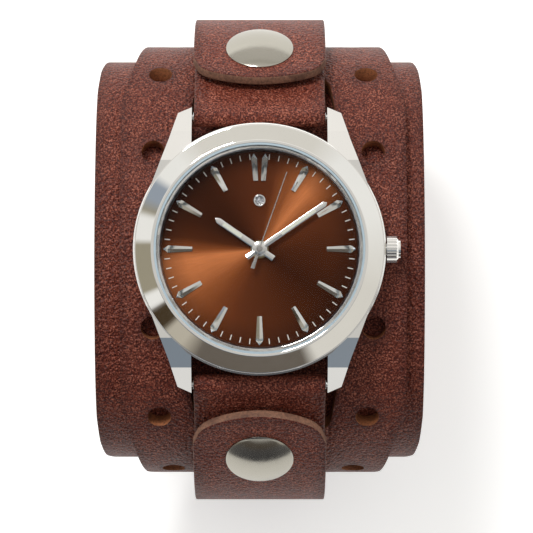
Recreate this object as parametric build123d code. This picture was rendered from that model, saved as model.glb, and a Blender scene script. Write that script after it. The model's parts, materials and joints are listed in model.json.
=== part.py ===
"""Cuff watch: a round quartz watch on a wide leather cuff that closes with two snaps.

X runs along the wrist with the crown at +X, Y runs towards 12 o'clock, and Z points up out
of the dial. Lengths are in millimetres. Everything is drawn about the centre of the wrist
oval, under the middle of the dial, and at the end it is raised, so that the flat of the closure
strap lies at Z = 0.
"""

import os
from math import acos, asin, atan2, cos, degrees, dist, pi, radians, sin

from build123d import *

# General clearances
overrun = 5.0
join_tolerance = 0.000001
leather_gap = 0.2
flap_gap = 1.1
hinge_gap = 0.08
seat_gap = 0.2
running_gap = 0.05

# Wrist oval, measured at the outside of the base band
oval_half_depth = 34.1
oval_half_height = 24.0
oval_top_rise = 2.0

# Base band
base_thickness = 2.2
base_half_width = 27.2
base_middle_half_width = 26.2
base_end_half_width = 19.6
base_shoulder_drop = 8.0
base_end_lift = 8.4
base_corner_radius = 6.0
base_wrap_angle = 134.0

# Overlay band, which lies a little towards the crown, with its holes towards 12 o'clock
overlay_gap = 0.1
overlay_offset = 0.6
hole_shift = 1.95
overlay_thickness = 2.5
overlay_half_width = 23.5
overlay_shoulder_half_width = 21.5
overlay_middle_half_width = 19.8
overlay_end_half_width = 14.5
overlay_top_drop = 4.0
overlay_shoulder_drop = 12.0
overlay_end_lift = 12.8
overlay_corner_radius = 4.0
overlay_wrap_angle = 126.0
window_gap = 1.4
window_root_inset = 0.58
window_root_angle = 46.3
window_end_gap = 2.01
window_end_margin = 0.15
window_corner_radius = 2.0
hole_radius = 1.95
top_hole_x = 18.1
top_hole_y = 14.5
shoulder_hole_x = 17.2
shoulder_hole_angle = 42.4
side_hole_x = 15.2
side_hole_angle = 80.0

# Lug straps
strap_thickness = 1.7
strap_half_width = 10.75
strap_end_angle = 105.0
strap_end_radius = 5.0
bar_reach = 1.4
bar_drop = 0.53
bar_radius = 0.75
bar_tip_radius = 0.4
bar_tip_length = 0.9
bar_clearance = 0.08

# Closure strap and its two flaps
closure_thickness = 1.7
closure_half_width = 11.0
upper_flap_reach = 8.2
upper_flap_sagitta = 3.3
lower_flap_reach = 10.3
lower_flap_sagitta = 4.4
flap_corner_radius = 2.6
flap_hinge_angle = 80.0
heel_angle = 100.0
heel_radius = 22.0

# Snap fasteners
cap_radius = 5.6
cap_height = 1.75
cap_sink = 0.35
cap_edge_height = 0.55
cap_post_radius = 1.2
socket_radius = 4.4
socket_depth = 1.0
socket_mouth_radius = 2.45
socket_roof = 0.2
stud_flange_radius = 3.8
stud_flange_thickness = 0.5
stud_neck_radius = 1.6
stud_ball_radius = 2.0
stud_height = 0.7
rivet_radius = 1.0
rivet_head_radius = 3.2
rivet_head_thickness = 0.6

# Case
case_wall = 3.6
case_height = 4.5
case_edge = 0.5
lug_gap = 0.3
lug_tip_reach = 1.4
lug_outer_width = 2.25
lug_outer_reach = 0.4
lug_waist_width = 3.65
lug_waist_length = 3.9
lug_root_inset = 1.5
lug_root_y = 6.6
lug_tip_below = 1.77
lug_tip_above = 1.93
lug_knee_length = 2.7
lug_knee_drop = 1.0
lug_pocket_gap = 0.3
back_inset = 2.5
back_height = 2.7
back_floor = 0.9
back_edge = 0.5
back_neck_height = 0.7
back_gasket_width = 0.6

# Bezel and crystal
bezel_inset = 0.25
bezel_rim_width = 0.45
bezel_height = 1.9
bezel_step_height = 0.45
bezel_step_width = 0.15
bezel_seat = 0.15
bezel_lip_width = 0.8
bezel_lip_height = 0.9
crystal_gasket_width = 0.35
crystal_height = 1.6
crystal_edge = 0.3
flange_width = 0.7
flange_foot_width = 1.0

# Dial
dial_gap = 0.3
dial_thickness = 0.4
dial_lift = 0.2
dial_bore = 1.5
marker_count = 12
marker_margin = 1.0
marker_length = 4.7
marker_point_length = 0.7
marker_inner_width = 0.75
marker_outer_width = 1.2
marker_height = 0.45
twin_marker_inner_x = 0.63
twin_marker_outer_x = 0.93
twin_marker_inset = 0.1
twin_marker_length = 4.4
twin_marker_width = 0.72
stone_gap = 3.2
stone_radius = 0.72
stone_height = 0.35
stone_table_radius = 0.4
setting_radius = 1.035
setting_height = 0.35
setting_floor = 0.1

# Hands, with angles clockwise from 12 o'clock at about nine minutes past ten
hand_lift = 0.55
hand_spacing = 0.4
hour_hand_length = 8.65
hour_hand_tail = 2.75
hour_hand_width = 0.95
hour_hand_thickness = 0.2
hour_hub_radius = 1.25
hour_lume_start = 3.5
hour_lume_end = 7.1
hour_hand_angle = 304.5
minute_hand_length = 13.25
minute_hand_tail = 2.5
minute_hand_width = 0.85
minute_hand_thickness = 0.2
minute_hub_radius = 1.1
minute_lume_start = 4.3
minute_lume_end = 11.0
minute_hand_angle = 55.5
second_hand_length = 13.2
second_hand_tail = 3.4
second_needle_width = 0.2
second_tail_width = 0.6
second_tail_start = 1.2
second_hand_thickness = 0.15
second_hub_radius = 0.5
second_hub_height = 0.3
second_hand_angle = 19.6
lume_width_share = 0.5
hand_point_share = 1.6

# Crown and stem
crown_rise = 2.3
crown_gap = 0.15
crown_radius = 2.125
crown_length = 1.55
crown_bevel = 0.3
crown_cap_radius = 1.675
crown_cap_length = 0.35
crown_flutes = 24
crown_flute_radius = 0.13
tube_radius = 1.0
tube_proud = 1.3
tube_bore_clearance = 0.06
crown_bore_radius = 1.45
crown_bore_depth = 1.4
crown_gasket_length = 0.6
stem_radius = 0.4
stem_end_x = 3.7
stem_groove_radius = 0.2
stem_groove_x = 10.0
stem_groove_length = 0.7
lever_length = 2.2
lever_width = 3.0
lever_thickness = 0.35
lever_tongue_length = 0.4

# Movement frame
holder_width = 2.0
holder_lift = 0.3
plate_radius = 14.9
plate_rise = 1.1
plate_thickness = 0.9
plate_centre_bore = 0.8
bridge_depth = 2.0
bridge_thickness = 0.6
bridge_half_length = 8.4
bridge_half_width = 3.6
bridge_centre_x = -1.1
screw_x = 7.1
screw_y = 2.5
screw_radius = 0.5
screw_head_radius = 0.8
screw_head_height = 0.3
pillar_radius = 0.95

# Power and circuit
battery_angle = -65.0
battery_rim = 1.1
battery_radius = 3.4
battery_height = 2.3
clamp_width = 2.0
clamp_thickness = 0.2
board_start_x = -1.5
board_rim = 1.36
board_y = 8.0
board_width = 4.4
board_thickness = 0.5
can_x = 1.0
can_radius = 0.75
can_length = 5.0
coil_x = -9.3
coil_y = -6.6
coil_radius = 1.15
coil_length = 8.0
stator_thickness = 0.4
stator_bore = 0.85
stator_width = 2.6

# Gear train, from the rotor to the centre wheel, then the motion work
tooth_root_share = 0.21
tooth_tip_share = 0.07
addendum_share = 0.75
dedendum_share = 1.15
pivot_radius = 0.15
rotor_teeth = 8
rotor_wheel_teeth = 48
rotor_module = 0.09
rotor_magnet_radius = 0.6
rotor_magnet_height = 0.4
second_drive_teeth = 10
second_wheel_teeth = 50
second_module = 0.1
second_pinion_teeth = 8
third_wheel_teeth = 60
third_module = 0.09
third_pinion_teeth = 8
centre_wheel_teeth = 64
centre_module = 0.085
cannon_teeth = 12
minute_wheel_teeth = 36
minute_module = 0.125
minute_pinion_teeth = 10
hour_wheel_teeth = 40
hour_module = 0.12
second_wheel_lift = 0.25
second_wheel_thickness = 0.15
middle_wheel_lift = 0.35
middle_wheel_thickness = 0.2
centre_wheel_lift = 0.42
centre_wheel_thickness = 0.18
pinion_margin = 0.05
second_arbor_radius = 0.25
centre_tube_radius = 0.7
centre_tube_bore = 0.32
hour_tube_radius = 1.1
hour_tube_bore = 0.78
cannon_thickness = 0.3
hour_wheel_lift = 0.43
hour_wheel_thickness = 0.22
minute_post_radius = 0.25
minute_post_height = 0.72
spoke_count = 4
spoke_bore_share = 0.22
spoke_place_share = 0.58

# Centres of the oval's side and top arcs, as places across and up
oval_side_radius = oval_half_height - oval_top_rise
side_centre = (oval_half_depth - oval_side_radius, 0)
top_radius = (side_centre[0] ** 2 + oval_half_height ** 2 - oval_side_radius ** 2) / (
    2 * (oval_half_height - oval_side_radius))
top_centre = (0, oval_half_height - top_radius)
top_half_angle = degrees(atan2(side_centre[0], -top_centre[1]))

# Radii about the side centre, from the wrist outwards
overlay_inner = oval_side_radius + overlay_gap
overlay_outer = overlay_inner + overlay_thickness
strap_inner = overlay_outer + leather_gap
strap_outer = strap_inner + strap_thickness
closure_inner = strap_outer + flap_gap
closure_outer = closure_inner + closure_thickness

# Radii about the dial's middle, from the movement outwards, and from the case inwards
case_bore = plate_radius + holder_width
case_radius = case_bore + case_wall
back_radius = case_radius - back_inset
bezel_radius = case_radius - bezel_inset
bezel_step_radius = bezel_radius - bezel_step_width
bezel_bore = case_bore + bezel_seat
bezel_top_radius = bezel_bore + bezel_rim_width
bezel_lip_bore = bezel_bore - bezel_lip_width
crystal_radius = bezel_bore - crystal_gasket_width
flange_bore = case_bore - flange_width
flange_foot_bore = case_bore - flange_foot_width
dial_radius = case_bore - dial_gap
marker_outer_radius = dial_radius - marker_margin
marker_shoulder_radius = marker_outer_radius - marker_point_length
marker_inner_radius = marker_outer_radius - marker_length
twin_marker_outer_radius = marker_outer_radius - twin_marker_inset
twin_marker_inner_radius = twin_marker_outer_radius - twin_marker_length
stone_y = twin_marker_inner_radius - stone_gap
holder_outer_radius = case_bore - seat_gap
crown_start_x = case_radius + crown_gap

# Heights of the case stack, from the band up
back_z = oval_half_height + seat_gap
case_bottom_z = back_z + back_height
case_top_z = case_bottom_z + case_height
bezel_top_z = case_top_z + bezel_height
crystal_z = case_top_z + bezel_lip_height
crown_z = case_bottom_z + crown_rise

# Spring bars, and the fall of the straight run that touches the lug strap's inner arc
bar_y = case_radius + bar_reach
bar_z = case_bottom_z - bar_drop
strap_fall_angle = degrees(atan2(bar_y - side_centre[0], bar_z) + acos(
    strap_inner / dist(side_centre, (bar_y, bar_z))))

# Lugs, from the bars and the case
lug_inner_x = strap_half_width + lug_gap
lug_outer_x = lug_inner_x + lug_outer_width
lug_waist_x = lug_inner_x + lug_waist_width
lug_root_x = case_radius - lug_root_inset
lug_tip_y = bar_y + lug_tip_reach
lug_outer_y = bar_y + lug_outer_reach
lug_waist_y = bar_y - lug_waist_length
lug_knee_y = bar_y - lug_knee_length
lug_root_bottom_y = (back_radius ** 2 - lug_inner_x ** 2) ** 0.5 + seat_gap
lug_tip_bottom_z = bar_z - lug_tip_below
lug_tip_top_z = bar_z + lug_tip_above
lug_knee_z = case_top_z - lug_knee_drop
lug_pocket_radius = strap_thickness + lug_pocket_gap

# Edges of the bands in the front view, and the window under the head
base_shoulder_z = oval_side_radius - base_shoulder_drop
base_end_z = base_end_lift - oval_side_radius
overlay_top_z = oval_half_height - overlay_top_drop
overlay_shoulder_z = oval_half_height - overlay_shoulder_drop
overlay_end_z = overlay_end_lift - overlay_outer
window_radius = back_radius + window_gap
window_root_radius = window_radius - window_root_inset
window_root_y = window_root_radius * cos(radians(window_root_angle))
window_root_half_width = window_root_radius * sin(radians(window_root_angle))
window_end_y = side_centre[0] + overlay_outer * sin(radians(strap_fall_angle)) - window_end_gap
window_end_half_width = strap_half_width + window_end_margin

# Heel of the closure strap and the height of the oval's centre above the rest face
heel_offset = closure_inner - heel_radius
heel_centre = (side_centre[0] + heel_offset * sin(radians(heel_angle)),
               heel_offset * cos(radians(heel_angle)))
rest_height = heel_radius + closure_thickness - heel_centre[1]

# Heights of the movement, the dial and the hands
plate_z = case_bottom_z + plate_rise
plate_top_z = plate_z + plate_thickness
bridge_z = plate_z - bridge_depth
bridge_top_z = bridge_z + bridge_thickness
holder_bottom_z = back_z + back_floor + holder_lift
stator_z = plate_z - stator_thickness - running_gap
second_wheel_z = bridge_top_z + second_wheel_lift
middle_wheel_z = second_wheel_z + middle_wheel_lift
centre_wheel_z = middle_wheel_z + centre_wheel_lift
cannon_z = plate_top_z + running_gap
hour_wheel_z = cannon_z + hour_wheel_lift
dial_z = hour_wheel_z + hour_wheel_thickness + dial_lift
dial_top_z = dial_z + dial_thickness
hour_hand_z = dial_top_z + hand_lift
minute_hand_z = hour_hand_z + hand_spacing
second_hand_z = minute_hand_z + hand_spacing


def side_point(centre, radius, angle):
    """Place across and up, on a circle, at an angle from up towards 12 o'clock."""
    return (centre[0] + radius * sin(radians(angle)), centre[1] + radius * cos(radians(angle)))


def mirrored(arcs):
    """The same arcs on the 6 o'clock side, in the order that runs towards 12 o'clock."""
    return [((-centre[0], centre[1]), radius, -end, -start)
            for centre, radius, start, end in reversed(arcs)]


def chain(arcs, offset):
    """Edges along arcs joined by straight runs, offset outwards, with the two end points."""
    edges = []
    first = last = None
    for centre, radius, start, end in arcs:
        begin = side_point(centre, radius + offset, start)
        finish = side_point(centre, radius + offset, end)
        if last is not None and dist(last, begin) > join_tolerance:
            edges.append(Line(last, begin))
        if start != end:
            middle = side_point(centre, radius + offset, (start + end) / 2)
            edges.append(ThreePointArc(begin, middle, finish))
        first = first or begin
        last = finish
    return edges, first, last


def leather(arcs, thickness, half_width):
    """A strip of leather that follows arcs in the side view, as wide as twice its half width."""
    inner, inner_first, inner_last = chain(arcs, 0)
    outer, outer_first, outer_last = chain(arcs, thickness)
    ends = [Line(inner_first, outer_first), Line(inner_last, outer_last)]
    outline = Plane.YZ * make_face(inner + outer + ends)
    return extrude(outline, amount=half_width, both=True)


def snap_plane(side, radius, angle=strap_fall_angle):
    """Plane across the leather at an angle, with its normal outwards."""
    across, up = side_point(side_centre, radius, angle)
    return Plane(origin=(0, side * across, up), x_dir=(1, 0, 0),
                 z_dir=(0, side * sin(radians(angle)), cos(radians(angle))))


def disc(plane, radius, start, end, x=0):
    """A cylinder between two heights over a plane."""
    return plane * Pos(x, 0, (start + end) / 2) * Cylinder(radius, end - start)


def ring(outer, inner, bottom, top, x=0, y=0):
    """A flat ring about a vertical axis, between two heights."""
    face = Circle(outer) - Circle(inner)
    return Pos(x, y, bottom) * extrude(face, amount=top - bottom)


def drum(radius, bottom, top, x=0, y=0):
    """A cylinder about a vertical axis, between two heights."""
    return Pos(x, y, bottom) * extrude(Circle(radius), amount=top - bottom)


def front_outline(points, corner_radius):
    """A symmetric outline in the front view, cut square at its foot with round corners."""
    right = [(x, z) for x, z in points]
    left = [(-x, z) for x, z in reversed(points)]
    face = make_face(Polyline(*right, *left, close=True))
    foot = face.vertices().group_by(Axis.Y)[0]
    face = fillet(foot, corner_radius)
    reach = 2 * oval_half_depth
    return extrude(Plane.XZ * face, amount=reach, both=True)


def base_band():
    """The wide band that lies on the wrist, open at the back."""
    radius = oval_side_radius - base_thickness
    side = [(side_centre, radius, top_half_angle, base_wrap_angle)]
    crown = [(top_centre, top_radius - base_thickness, -top_half_angle, top_half_angle)]
    band = leather(mirrored(side) + crown + side, base_thickness, base_half_width)
    outline = front_outline([
        (base_half_width, oval_half_height + overrun),
        (base_half_width, base_shoulder_z),
        (base_middle_half_width, 0),
        (base_end_half_width, base_end_z),
    ], base_corner_radius)
    band &= outline
    for side in (1, -1):
        plane = snap_plane(side, oval_side_radius)
        band -= disc(plane, rivet_radius, -base_thickness - overrun, overrun)
        band -= disc(plane, rivet_head_radius, -base_thickness - overrun,
                     -base_thickness + rivet_head_thickness)
    return band


def overlay_band():
    """The narrower band over it, with punched holes and a window under the watch head."""
    side = [(side_centre, overlay_inner, top_half_angle, overlay_wrap_angle)]
    crown = [(top_centre, top_radius + overlay_gap, -top_half_angle, top_half_angle)]
    band = leather(mirrored(side) + crown + side, overlay_thickness, overlay_half_width)
    outline = front_outline([
        (overlay_half_width, oval_half_height + overrun),
        (overlay_half_width, overlay_top_z),
        (overlay_shoulder_half_width, overlay_shoulder_z),
        (overlay_middle_half_width, 0),
        (overlay_end_half_width, overlay_end_z),
    ], overlay_corner_radius)
    band &= outline
    window = Circle(window_radius)
    for side in (1, -1):
        slot = make_face(Polyline(
            (-window_root_half_width, side * window_root_y),
            (window_root_half_width, side * window_root_y),
            (window_end_half_width, side * window_end_y),
            (-window_end_half_width, side * window_end_y), close=True))
        corners = slot.vertices().sort_by(Axis.Y)[2:] if side > 0 else slot.vertices().sort_by(Axis.Y)[:2]
        window += fillet(corners, window_corner_radius)
    band -= extrude(window, amount=oval_half_height + overrun)
    shift = degrees(hole_shift / overlay_outer)
    for side in (1, -1):
        shoulder = snap_plane(side, overlay_inner, shoulder_hole_angle + side * shift)
        flank = snap_plane(side, overlay_inner, side_hole_angle + side * shift)
        tilt = asin((side * top_hole_y + hole_shift) / (top_radius + overlay_gap + overlay_thickness))
        rise = (top_radius + overlay_gap) * cos(tilt) + top_centre[1]
        top = Plane(origin=(0, (top_radius + overlay_gap) * sin(tilt), rise),
                    x_dir=(1, 0, 0), z_dir=(0, sin(tilt), cos(tilt)))
        for x in (-1, 1):
            band -= disc(shoulder, hole_radius, -overlay_thickness, overrun, x * shoulder_hole_x)
            band -= disc(flank, hole_radius, -overlay_thickness, overrun, x * side_hole_x)
            band -= disc(top, hole_radius, -overlay_thickness, overrun, x * top_hole_x)
    band = Pos(overlay_offset, 0, 0) * band
    for side in (1, -1):
        band -= disc(snap_plane(side, overlay_inner), rivet_radius, -overrun, overrun)
    return band


def bar_cylinder(side, radius, half_length):
    """A cylinder on a spring bar's axis."""
    return Pos(0, side * bar_y, bar_z) * Rot(0, 90, 0) * Cylinder(radius, 2 * half_length)


def lug_strap(side):
    """One of the two short straps, rolled round its spring bar and pinned by the rivet."""
    arcs = [((bar_y, bar_z), 0, strap_fall_angle, strap_fall_angle),
            (side_centre, strap_inner, strap_fall_angle, strap_end_angle)]
    arcs = arcs if side > 0 else mirrored(arcs)
    strap = leather(arcs, strap_thickness, strap_half_width)
    strap += bar_cylinder(side, strap_thickness, strap_half_width)
    strap -= bar_cylinder(side, bar_radius + bar_clearance, strap_half_width + overrun)
    low_z = side_point(side_centre, strap_outer, strap_end_angle)[1]
    strap &= front_outline([
        (strap_half_width, oval_half_height + overrun),
        (strap_half_width, low_z),
    ], strap_end_radius)
    plane = snap_plane(side, strap_outer)
    strap -= disc(plane, rivet_radius, -strap_thickness - overrun, overrun)
    strap -= disc(plane, stud_flange_radius, -stud_flange_thickness, overrun)
    return strap


def flap_outline(side):
    """The flap's outline seen square to the leather at the snap, with its round free end."""
    end = upper_flap_reach if side > 0 else lower_flap_reach
    shoulder = end - (upper_flap_sagitta if side > 0 else lower_flap_sagitta)
    tail = closure_outer
    edges = [
        ThreePointArc((-closure_half_width, shoulder), (0, end), (closure_half_width, shoulder)),
        Line((closure_half_width, shoulder), (closure_half_width, -tail)),
        Line((closure_half_width, -tail), (-closure_half_width, -tail)),
        Line((-closure_half_width, -tail), (-closure_half_width, shoulder)),
    ]
    face = make_face(edges)
    face = fillet(face.vertices().group_by(Axis.Y)[-1], flap_corner_radius)
    flip = Rot(0, 0, 180) if side > 0 else Rot(0, 0, 0)
    plane = snap_plane(side, closure_outer)
    return plane * flip * extrude(face, amount=closure_outer, both=True)


def flap(side):
    """The free end of the closure strap, from its fold to its round end, with the snap's seats."""
    fall = radians(strap_fall_angle)
    reach = upper_flap_reach if side > 0 else lower_flap_reach
    tip = (side_centre[0] - reach * cos(fall), reach * sin(fall))
    hinge_slack = degrees(hinge_gap / closure_outer)
    arcs = [(tip, closure_inner, strap_fall_angle, strap_fall_angle),
            (side_centre, closure_inner, strap_fall_angle, flap_hinge_angle - hinge_slack)]
    arcs = arcs if side > 0 else mirrored(arcs)
    piece = leather(arcs, closure_thickness, closure_half_width)
    piece &= flap_outline(side)
    plane = snap_plane(side, closure_outer)
    piece -= disc(plane, cap_post_radius, -closure_thickness - overrun, overrun)
    piece -= disc(plane, cap_radius, -cap_sink, overrun)
    piece -= disc(plane, socket_radius, -closure_thickness - overrun,
                  socket_depth - closure_thickness)
    return piece


def closure_strap():
    """The strap round the back of the wrist, flat where it rests, between the two flaps."""
    side = [(side_centre, closure_inner, flap_hinge_angle, heel_angle),
            (heel_centre, heel_radius, heel_angle, 180)]
    other = [((-centre[0], centre[1]), radius, 360 - end, 360 - start)
             for centre, radius, start, end in reversed(side)]
    return leather(side + other, closure_thickness, closure_half_width)


def snap_cap(side):
    """The domed metal cap on a flap, with the post that holds its socket."""
    rise = cap_height - cap_edge_height
    radius = (cap_radius ** 2 + rise ** 2) / (2 * rise)
    dome = Pos(0, 0, cap_height - radius) * Sphere(radius)
    body = Pos(0, 0, cap_height / 2) * Cylinder(cap_radius, cap_height)
    cap = body & dome
    post_length = closure_thickness - cap_sink - socket_depth
    cap += Pos(0, 0, -post_length / 2) * Cylinder(cap_post_radius, post_length)
    return snap_plane(side, closure_outer - cap_sink) * cap


def snap_socket(side):
    """The spring ring under a flap that grips the stud."""
    socket = Pos(0, 0, socket_depth / 2) * Cylinder(socket_radius, socket_depth)
    cavity_depth = socket_depth - socket_roof
    socket -= Pos(0, 0, cavity_depth / 2) * Cylinder(socket_mouth_radius, cavity_depth)
    return snap_plane(side, closure_inner) * socket


def snap_stud(side):
    """The button on a lug strap that its socket closes over."""
    flange = disc(Plane.XY, stud_flange_radius, -stud_flange_thickness, 0)
    neck = disc(Plane.XY, stud_neck_radius, -stud_flange_thickness, flap_gap + stud_height)
    ball_start = flap_gap + stud_height / 3
    ball = disc(Plane.XY, stud_ball_radius, ball_start, flap_gap + stud_height)
    ball = chamfer(ball.edges().group_by(Axis.Z)[-1], stud_ball_radius - stud_neck_radius)
    stud = flange + neck + ball
    stud -= disc(Plane.XY, rivet_radius, -stud_flange_thickness - overrun, 0)
    return snap_plane(side, strap_outer) * stud


def snap_post(side):
    """The rivet that pins strap, overlay and base, with its flat head against the wrist."""
    depth = strap_outer - (oval_side_radius - base_thickness)
    post = disc(Plane.XY, rivet_radius, -depth, 0)
    post += disc(Plane.XY, rivet_head_radius, -depth, -depth + rivet_head_thickness)
    return snap_plane(side, strap_outer) * post


def spring_bars():
    """The two bars between the lugs, each with its thin spring tips."""
    bars = []
    for side in (1, -1):
        bar = bar_cylinder(side, bar_radius, lug_inner_x - seat_gap)
        bars.append(bar + bar_cylinder(side, bar_tip_radius, lug_inner_x + bar_tip_length))
    return bars


def lug(side, hand):
    """One lug: its outline seen from above, cut by the line of its top and its underside."""
    points = [
        (lug_inner_x, 0), (lug_inner_x, lug_tip_y), (lug_outer_x, lug_outer_y),
        (lug_waist_x, lug_waist_y), (lug_root_x, lug_root_y), (lug_root_x, 0)]
    plan = make_face(Polyline(*[(hand * x, side * y) for x, y in points], close=True))
    block = Pos(0, 0, lug_tip_bottom_z) * extrude(plan, amount=case_top_z - lug_tip_bottom_z)
    profile = make_face(Polyline(
        (0, case_bottom_z), (side * lug_root_bottom_y, case_bottom_z),
        (side * lug_tip_y, lug_tip_bottom_z), (side * lug_tip_y, lug_tip_top_z),
        (side * lug_knee_y, lug_knee_z), (side * lug_root_bottom_y, case_top_z),
        (0, case_top_z), close=True))
    return block & extrude(Plane.YZ * profile, amount=case_radius, both=True)


def mid_case():
    """The middle of the case with its four lugs, bored for the movement, bars and tube."""
    body = drum(case_radius, case_bottom_z, case_top_z)
    body = chamfer(body.edges(), case_edge)
    for side in (1, -1):
        for hand in (1, -1):
            body += lug(side, hand)
    body -= drum(case_bore, case_bottom_z - overrun, case_top_z + overrun)
    for side in (1, -1):
        pocket = lug_inner_x
        body -= bar_cylinder(side, lug_pocket_radius, pocket)
        body -= bar_cylinder(side, bar_tip_radius, lug_inner_x + bar_tip_length)
    body -= crown_cylinder(tube_radius, 0, case_radius + overrun)
    return body


def crown_cylinder(radius, start, end):
    """A cylinder on the crown's axis between two places along X."""
    return Pos((start + end) / 2, 0, crown_z) * Rot(0, 90, 0) * Cylinder(radius, end - start)


def caseback():
    """The dished cover that closes the case from below."""
    neck = drum(case_bore - running_gap, case_bottom_z - back_neck_height,
                case_bottom_z + back_neck_height)
    cover = drum(back_radius, back_z, case_bottom_z)
    cover = chamfer(cover.edges().group_by(Axis.Z)[0], back_edge) + neck
    inside = case_bore - 2 * back_gasket_width
    cover -= drum(inside, back_z + back_floor, case_bottom_z + overrun)
    return cover


def caseback_gasket():
    """The seal between the caseback's neck and the case."""
    bottom = case_bottom_z + back_neck_height
    inner = case_bore - back_gasket_width
    return ring(case_bore, inner, bottom, bottom + back_gasket_width)


def bezel():
    """The polished ring with a sloping top, a thin step at its foot and a lip for the crystal."""
    shoulder_z = case_top_z + bezel_step_height
    points = [
        (bezel_lip_bore, case_top_z), (bezel_radius, case_top_z), (bezel_radius, shoulder_z),
        (bezel_step_radius, shoulder_z), (bezel_top_radius, bezel_top_z),
        (bezel_bore, bezel_top_z), (bezel_bore, crystal_z), (bezel_lip_bore, crystal_z)]
    return revolve(Plane.XZ * make_face(Polyline(*points, close=True)), Axis.Z)


def crystal():
    """The flat window with a bevelled rim."""
    window = drum(crystal_radius, crystal_z, crystal_z + crystal_height)
    return chamfer(window.edges().group_by(Axis.Z)[-1], crystal_edge)


def crystal_gasket():
    """The thin ring that holds the crystal in the bezel."""
    return ring(bezel_bore, crystal_radius, crystal_z, bezel_top_z)


def rehaut_ring():
    """The sloping ring between dial and crystal."""
    points = [
        (flange_foot_bore, dial_top_z), (case_bore, dial_top_z),
        (case_bore, case_top_z), (flange_bore, case_top_z)]
    return revolve(Plane.XZ * make_face(Polyline(*points, close=True)), Axis.Z)


def dial():
    """The dial plate with its centre hole."""
    return ring(dial_radius, dial_bore, dial_z, dial_top_z)


def raised(points):
    """A closed outline standing on the dial as high as an hour marker."""
    return Pos(0, 0, dial_top_z) * extrude(make_face(Polyline(*points, close=True)),
                                           amount=marker_height)


def hour_markers():
    """The applied batons, pointed outwards, and the straight pair at 12 o'clock."""
    markers = []
    outline = [
        (-marker_inner_width / 2, marker_inner_radius),
        (-marker_outer_width / 2, marker_shoulder_radius), (0, marker_outer_radius),
        (marker_outer_width / 2, marker_shoulder_radius),
        (marker_inner_width / 2, marker_inner_radius)]
    for hour in range(1, marker_count):
        markers.append(Rot(0, 0, -360 * hour / marker_count) * raised(outline))
    half = twin_marker_width / 2
    for hand in (1, -1):
        inner = hand * twin_marker_inner_x
        outer = hand * twin_marker_outer_x
        markers.append(raised([
            (inner - half, twin_marker_inner_radius), (inner + half, twin_marker_inner_radius),
            (outer + half, twin_marker_outer_radius), (outer - half, twin_marker_outer_radius)]))
    return markers


def stone_setting():
    """The round cup that holds the stone."""
    cup = drum(setting_radius, dial_top_z, dial_top_z + setting_height, 0, stone_y)
    return cup - drum(stone_radius, dial_top_z + setting_floor, dial_top_z + overrun, 0, stone_y)


def stone():
    """The round stone, bevelled to a flat top."""
    gem = drum(stone_radius, 0, stone_height)
    gem = chamfer(gem.edges().group_by(Axis.Z)[-1], stone_height / 2, stone_radius - stone_table_radius)
    return Pos(0, stone_y, dial_top_z + setting_floor) * gem


def crown():
    """The fluted crown with its smaller raised cap, hollow where the case tube goes in."""
    start = crown_start_x
    end = start + crown_length + crown_bevel
    body = crown_cylinder(crown_radius, start, end)
    body = chamfer(body.edges().group_by(Axis.X)[-1], crown_bevel)
    body += crown_cylinder(crown_cap_radius, end, end + crown_cap_length)
    for flute in range(crown_flutes):
        turn = 2 * pi * flute / crown_flutes
        groove = Pos((start + end) / 2, crown_radius * sin(turn), crown_z + crown_radius * cos(turn))
        body -= groove * Rot(0, 90, 0) * Cylinder(crown_flute_radius, end - start)
    body -= crown_cylinder(crown_bore_radius, start, start + crown_bore_depth)
    return body


def crown_gasket():
    """The seal in the crown round the case tube."""
    end = crown_start_x + crown_bore_depth
    outer = crown_cylinder(crown_bore_radius, end - crown_gasket_length, end)
    return outer - crown_cylinder(tube_radius + running_gap, end - crown_gasket_length, end)


def case_tube():
    """The tube in the case wall that the stem runs through."""
    end = case_radius + tube_proud
    tube = crown_cylinder(tube_radius, case_bore, end)
    return tube - crown_cylinder(stem_radius + tube_bore_clearance, case_bore - overrun, end + overrun)


def stem():
    """The winding stem, from the crown to its groove for the setting lever."""
    shaft = crown_cylinder(stem_radius, stem_end_x, crown_start_x + crown_bore_depth)
    groove = crown_cylinder(stem_radius + overrun, stem_groove_x, stem_groove_x + stem_groove_length)
    core = crown_cylinder(stem_groove_radius, stem_groove_x, stem_groove_x + stem_groove_length)
    return shaft - groove + core


def hand_outline(length, tail, width, point_share):
    """A straight hand with a pointed end, drawn towards 12 o'clock."""
    point = width * point_share
    return make_face(Polyline(
        (-width / 2, -tail), (width / 2, -tail), (width / 2, length - point), (0, length),
        (-width / 2, length - point), close=True))


def lume_outline(start, end, width):
    """The strip of luminous fill in a hand."""
    return Pos(0, (start + end) / 2) * Rectangle(width * lume_width_share, end - start)


def placed(face, angle, z, thickness):
    """A face turned clockwise from 12 o'clock and raised to a height."""
    return Rot(0, 0, -angle) * Pos(0, 0, z) * extrude(face, amount=thickness)


def hour_hand():
    """The hour hand, open where its fill lies."""
    face = hand_outline(hour_hand_length, hour_hand_tail, hour_hand_width, hand_point_share)
    face += Circle(hour_hub_radius)
    face -= lume_outline(hour_lume_start, hour_lume_end, hour_hand_width)
    face -= Circle(hour_tube_bore)
    return placed(face, hour_hand_angle, hour_hand_z, hour_hand_thickness)


def minute_hand():
    """The minute hand, open where its fill lies."""
    face = hand_outline(minute_hand_length, minute_hand_tail, minute_hand_width, hand_point_share)
    face += Circle(minute_hub_radius)
    face -= lume_outline(minute_lume_start, minute_lume_end, minute_hand_width)
    face -= Circle(centre_tube_bore)
    return placed(face, minute_hand_angle, minute_hand_z, minute_hand_thickness)


def hour_lume():
    """The fill of the hour hand."""
    face = lume_outline(hour_lume_start, hour_lume_end, hour_hand_width)
    return placed(face, hour_hand_angle, hour_hand_z, hour_hand_thickness)


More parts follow.
